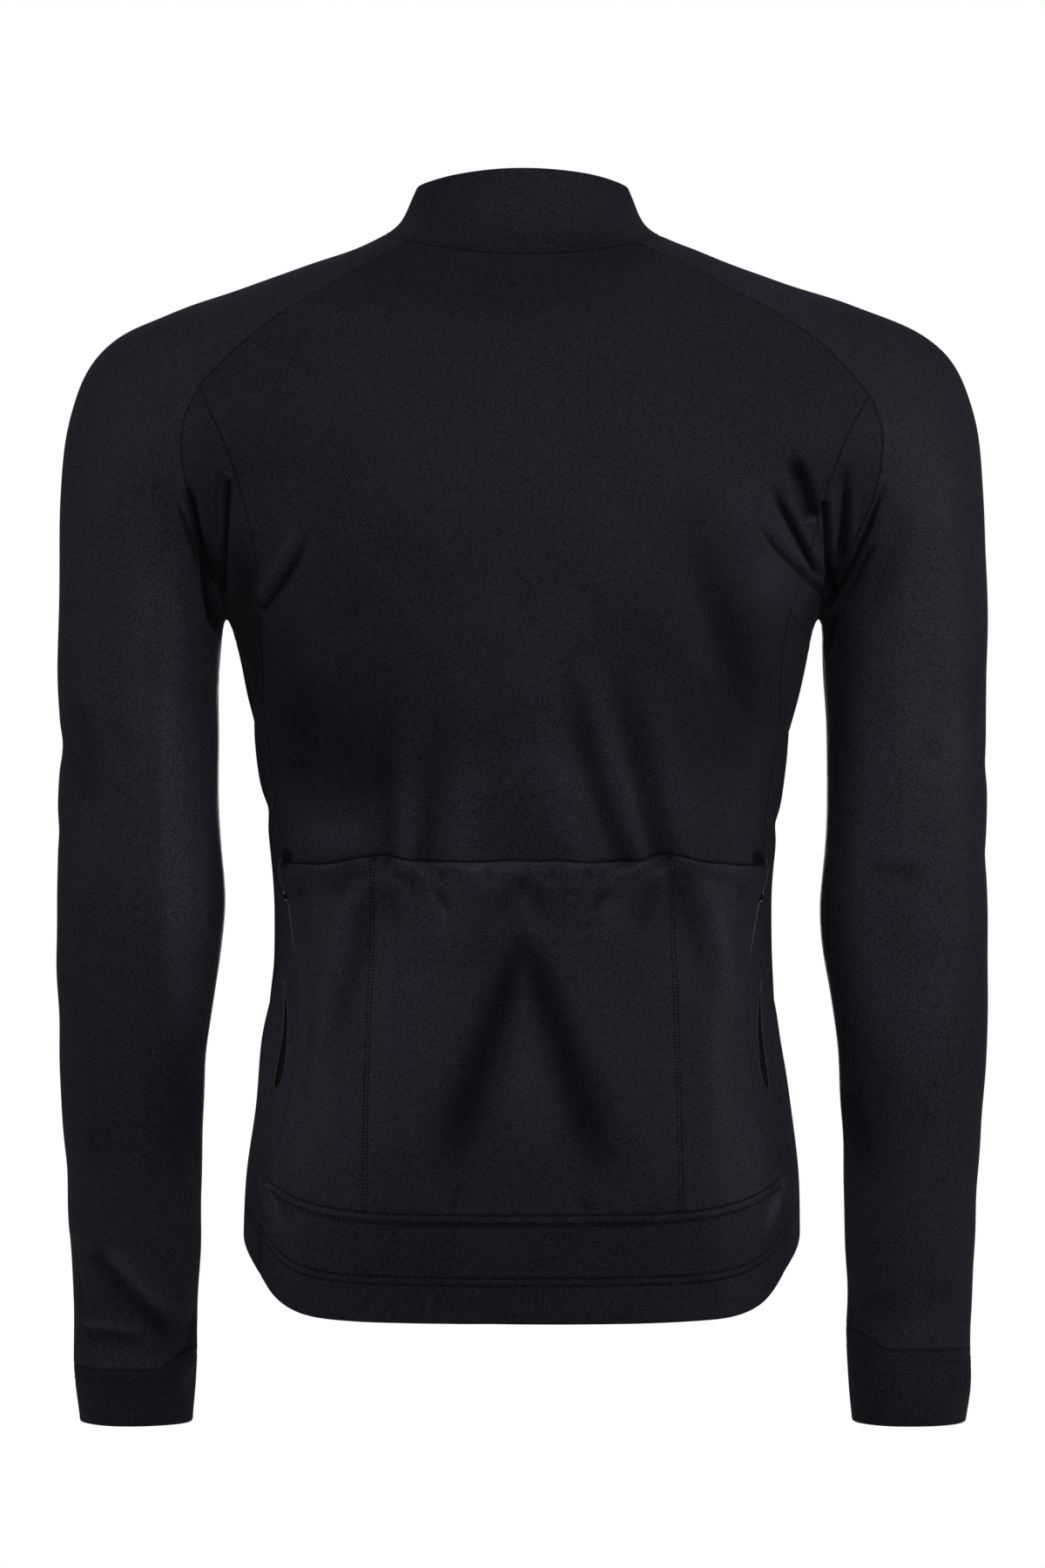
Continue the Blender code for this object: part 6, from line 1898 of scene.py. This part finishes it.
class JerseySettings(bpy.types.PropertyGroup):
    """Sizes and colours that every step reads."""

    cloth_thickness: FloatProperty(
        name="Cloth thickness", description="Thickness of the knit", default=CLOTH_THICKNESS,
        min=0.0006, max=0.0020, unit="LENGTH", subtype="DISTANCE", precision=4)
    fold_depth: FloatProperty(
        name="Fold depth", description="Factor on the height of every fold", default=1.45,
        min=0.0, max=2.5, subtype="FACTOR")
    stitch_pitch: FloatProperty(
        name="Stitch pitch", description="From one stitch to the next", default=0.0021,
        min=0.0015, max=0.0060, unit="LENGTH", subtype="DISTANCE", precision=4)
    thread_radius: FloatProperty(
        name="Thread radius", description="Half the thickness of the thread",
        default=0.00022, min=0.0001, max=0.0005, unit="LENGTH", subtype="DISTANCE",
        precision=5)
    body_colour: FloatVectorProperty(
        name="Body colour", description="Colour of the body's knit",
        default=(0.0158, 0.0154, 0.0240), min=0.0, max=1.0, subtype="COLOR")
    sleeve_colour: FloatVectorProperty(
        name="Sleeve colour", description="Colour of the sleeves' knit",
        default=(0.0200, 0.0204, 0.0300), min=0.0, max=1.0, subtype="COLOR")


class JerseyStep:
    """What the operators share: each one runs its own builder."""

    bl_options = {"REGISTER", "UNDO"}

    def execute(self, context):
        type(self).builder()
        return {"FINISHED"}


class JERSEY_OT_body(JerseyStep, bpy.types.Operator):
    """Back, fronts, side panels and gussets."""

    bl_idname = "jersey.body"
    bl_label = "Body panels"
    builder = staticmethod(build_body)


class JERSEY_OT_sleeves(JerseyStep, bpy.types.Operator):
    """Both sleeves and their cuffs."""

    bl_idname = "jersey.sleeves"
    bl_label = "Sleeves and cuffs"
    builder = staticmethod(build_sleeves)


class JERSEY_OT_collar(JerseyStep, bpy.types.Operator):
    """The stand collar."""

    bl_idname = "jersey.collar"
    bl_label = "Collar"
    builder = staticmethod(build_collar)


class JERSEY_OT_pocket(JerseyStep, bpy.types.Operator):
    """The pocket layer on the back with its bound edges."""

    bl_idname = "jersey.pocket"
    bl_label = "Pocket layer"
    builder = staticmethod(build_pocket)


class JERSEY_OT_sewing(JerseyStep, bpy.types.Operator):
    """Stitches along hem, pocket, cuffs, collar and zip."""

    bl_idname = "jersey.sewing"
    bl_label = "Sewing"
    builder = staticmethod(build_sewing)


class JERSEY_OT_front_zip(JerseyStep, bpy.types.Operator):
    """The front zip's tape and teeth."""

    bl_idname = "jersey.front_zip"
    bl_label = "Front zip"
    builder = staticmethod(build_zip)


class JERSEY_OT_side_zips(JerseyStep, bpy.types.Operator):
    """The two short zips beside the pockets."""

    bl_idname = "jersey.side_zips"
    bl_label = "Side zips"
    builder = staticmethod(build_side_zips)


class JERSEY_OT_slider(JerseyStep, bpy.types.Operator):
    """The front zip's slider and its pull tab."""

    bl_idname = "jersey.slider"
    bl_label = "Slider and pull"
    builder = staticmethod(build_slider)


class JERSEY_OT_stage(JerseyStep, bpy.types.Operator):
    """Floor, lights and camera."""

    bl_idname = "jersey.stage"
    bl_label = "Stage"
    builder = staticmethod(build_stage)


STEPS = (
    JERSEY_OT_body, JERSEY_OT_sleeves, JERSEY_OT_collar, JERSEY_OT_pocket,
    JERSEY_OT_sewing, JERSEY_OT_front_zip, JERSEY_OT_side_zips, JERSEY_OT_slider,
    JERSEY_OT_stage,
)


class JERSEY_PT_steps(bpy.types.Panel):
    """The steps in the order they are run, and the settings they read."""

    bl_label = "Cycling jersey"
    bl_idname = "JERSEY_PT_steps"
    bl_space_type = "VIEW_3D"
    bl_region_type = "UI"
    bl_category = "Jersey"

    def draw(self, context):
        for name in JerseySettings.__annotations__:
            self.layout.prop(context.scene.jersey, name)
        for step in STEPS:
            self.layout.operator(step.bl_idname)


CLASSES = (JerseySettings,) + STEPS + (JERSEY_PT_steps,)


def register():
    for cls in CLASSES:
        bpy.utils.register_class(cls)
    bpy.types.Scene.jersey = PointerProperty(type=JerseySettings)


def unregister():
    del bpy.types.Scene.jersey
    for cls in reversed(CLASSES):
        bpy.utils.unregister_class(cls)


def main():
    """Run every step in order."""
    register()
    for step in STEPS:
        group, name = step.bl_idname.split(".")
        getattr(getattr(bpy.ops, group), name)()


if __name__ == "__main__":
    main()
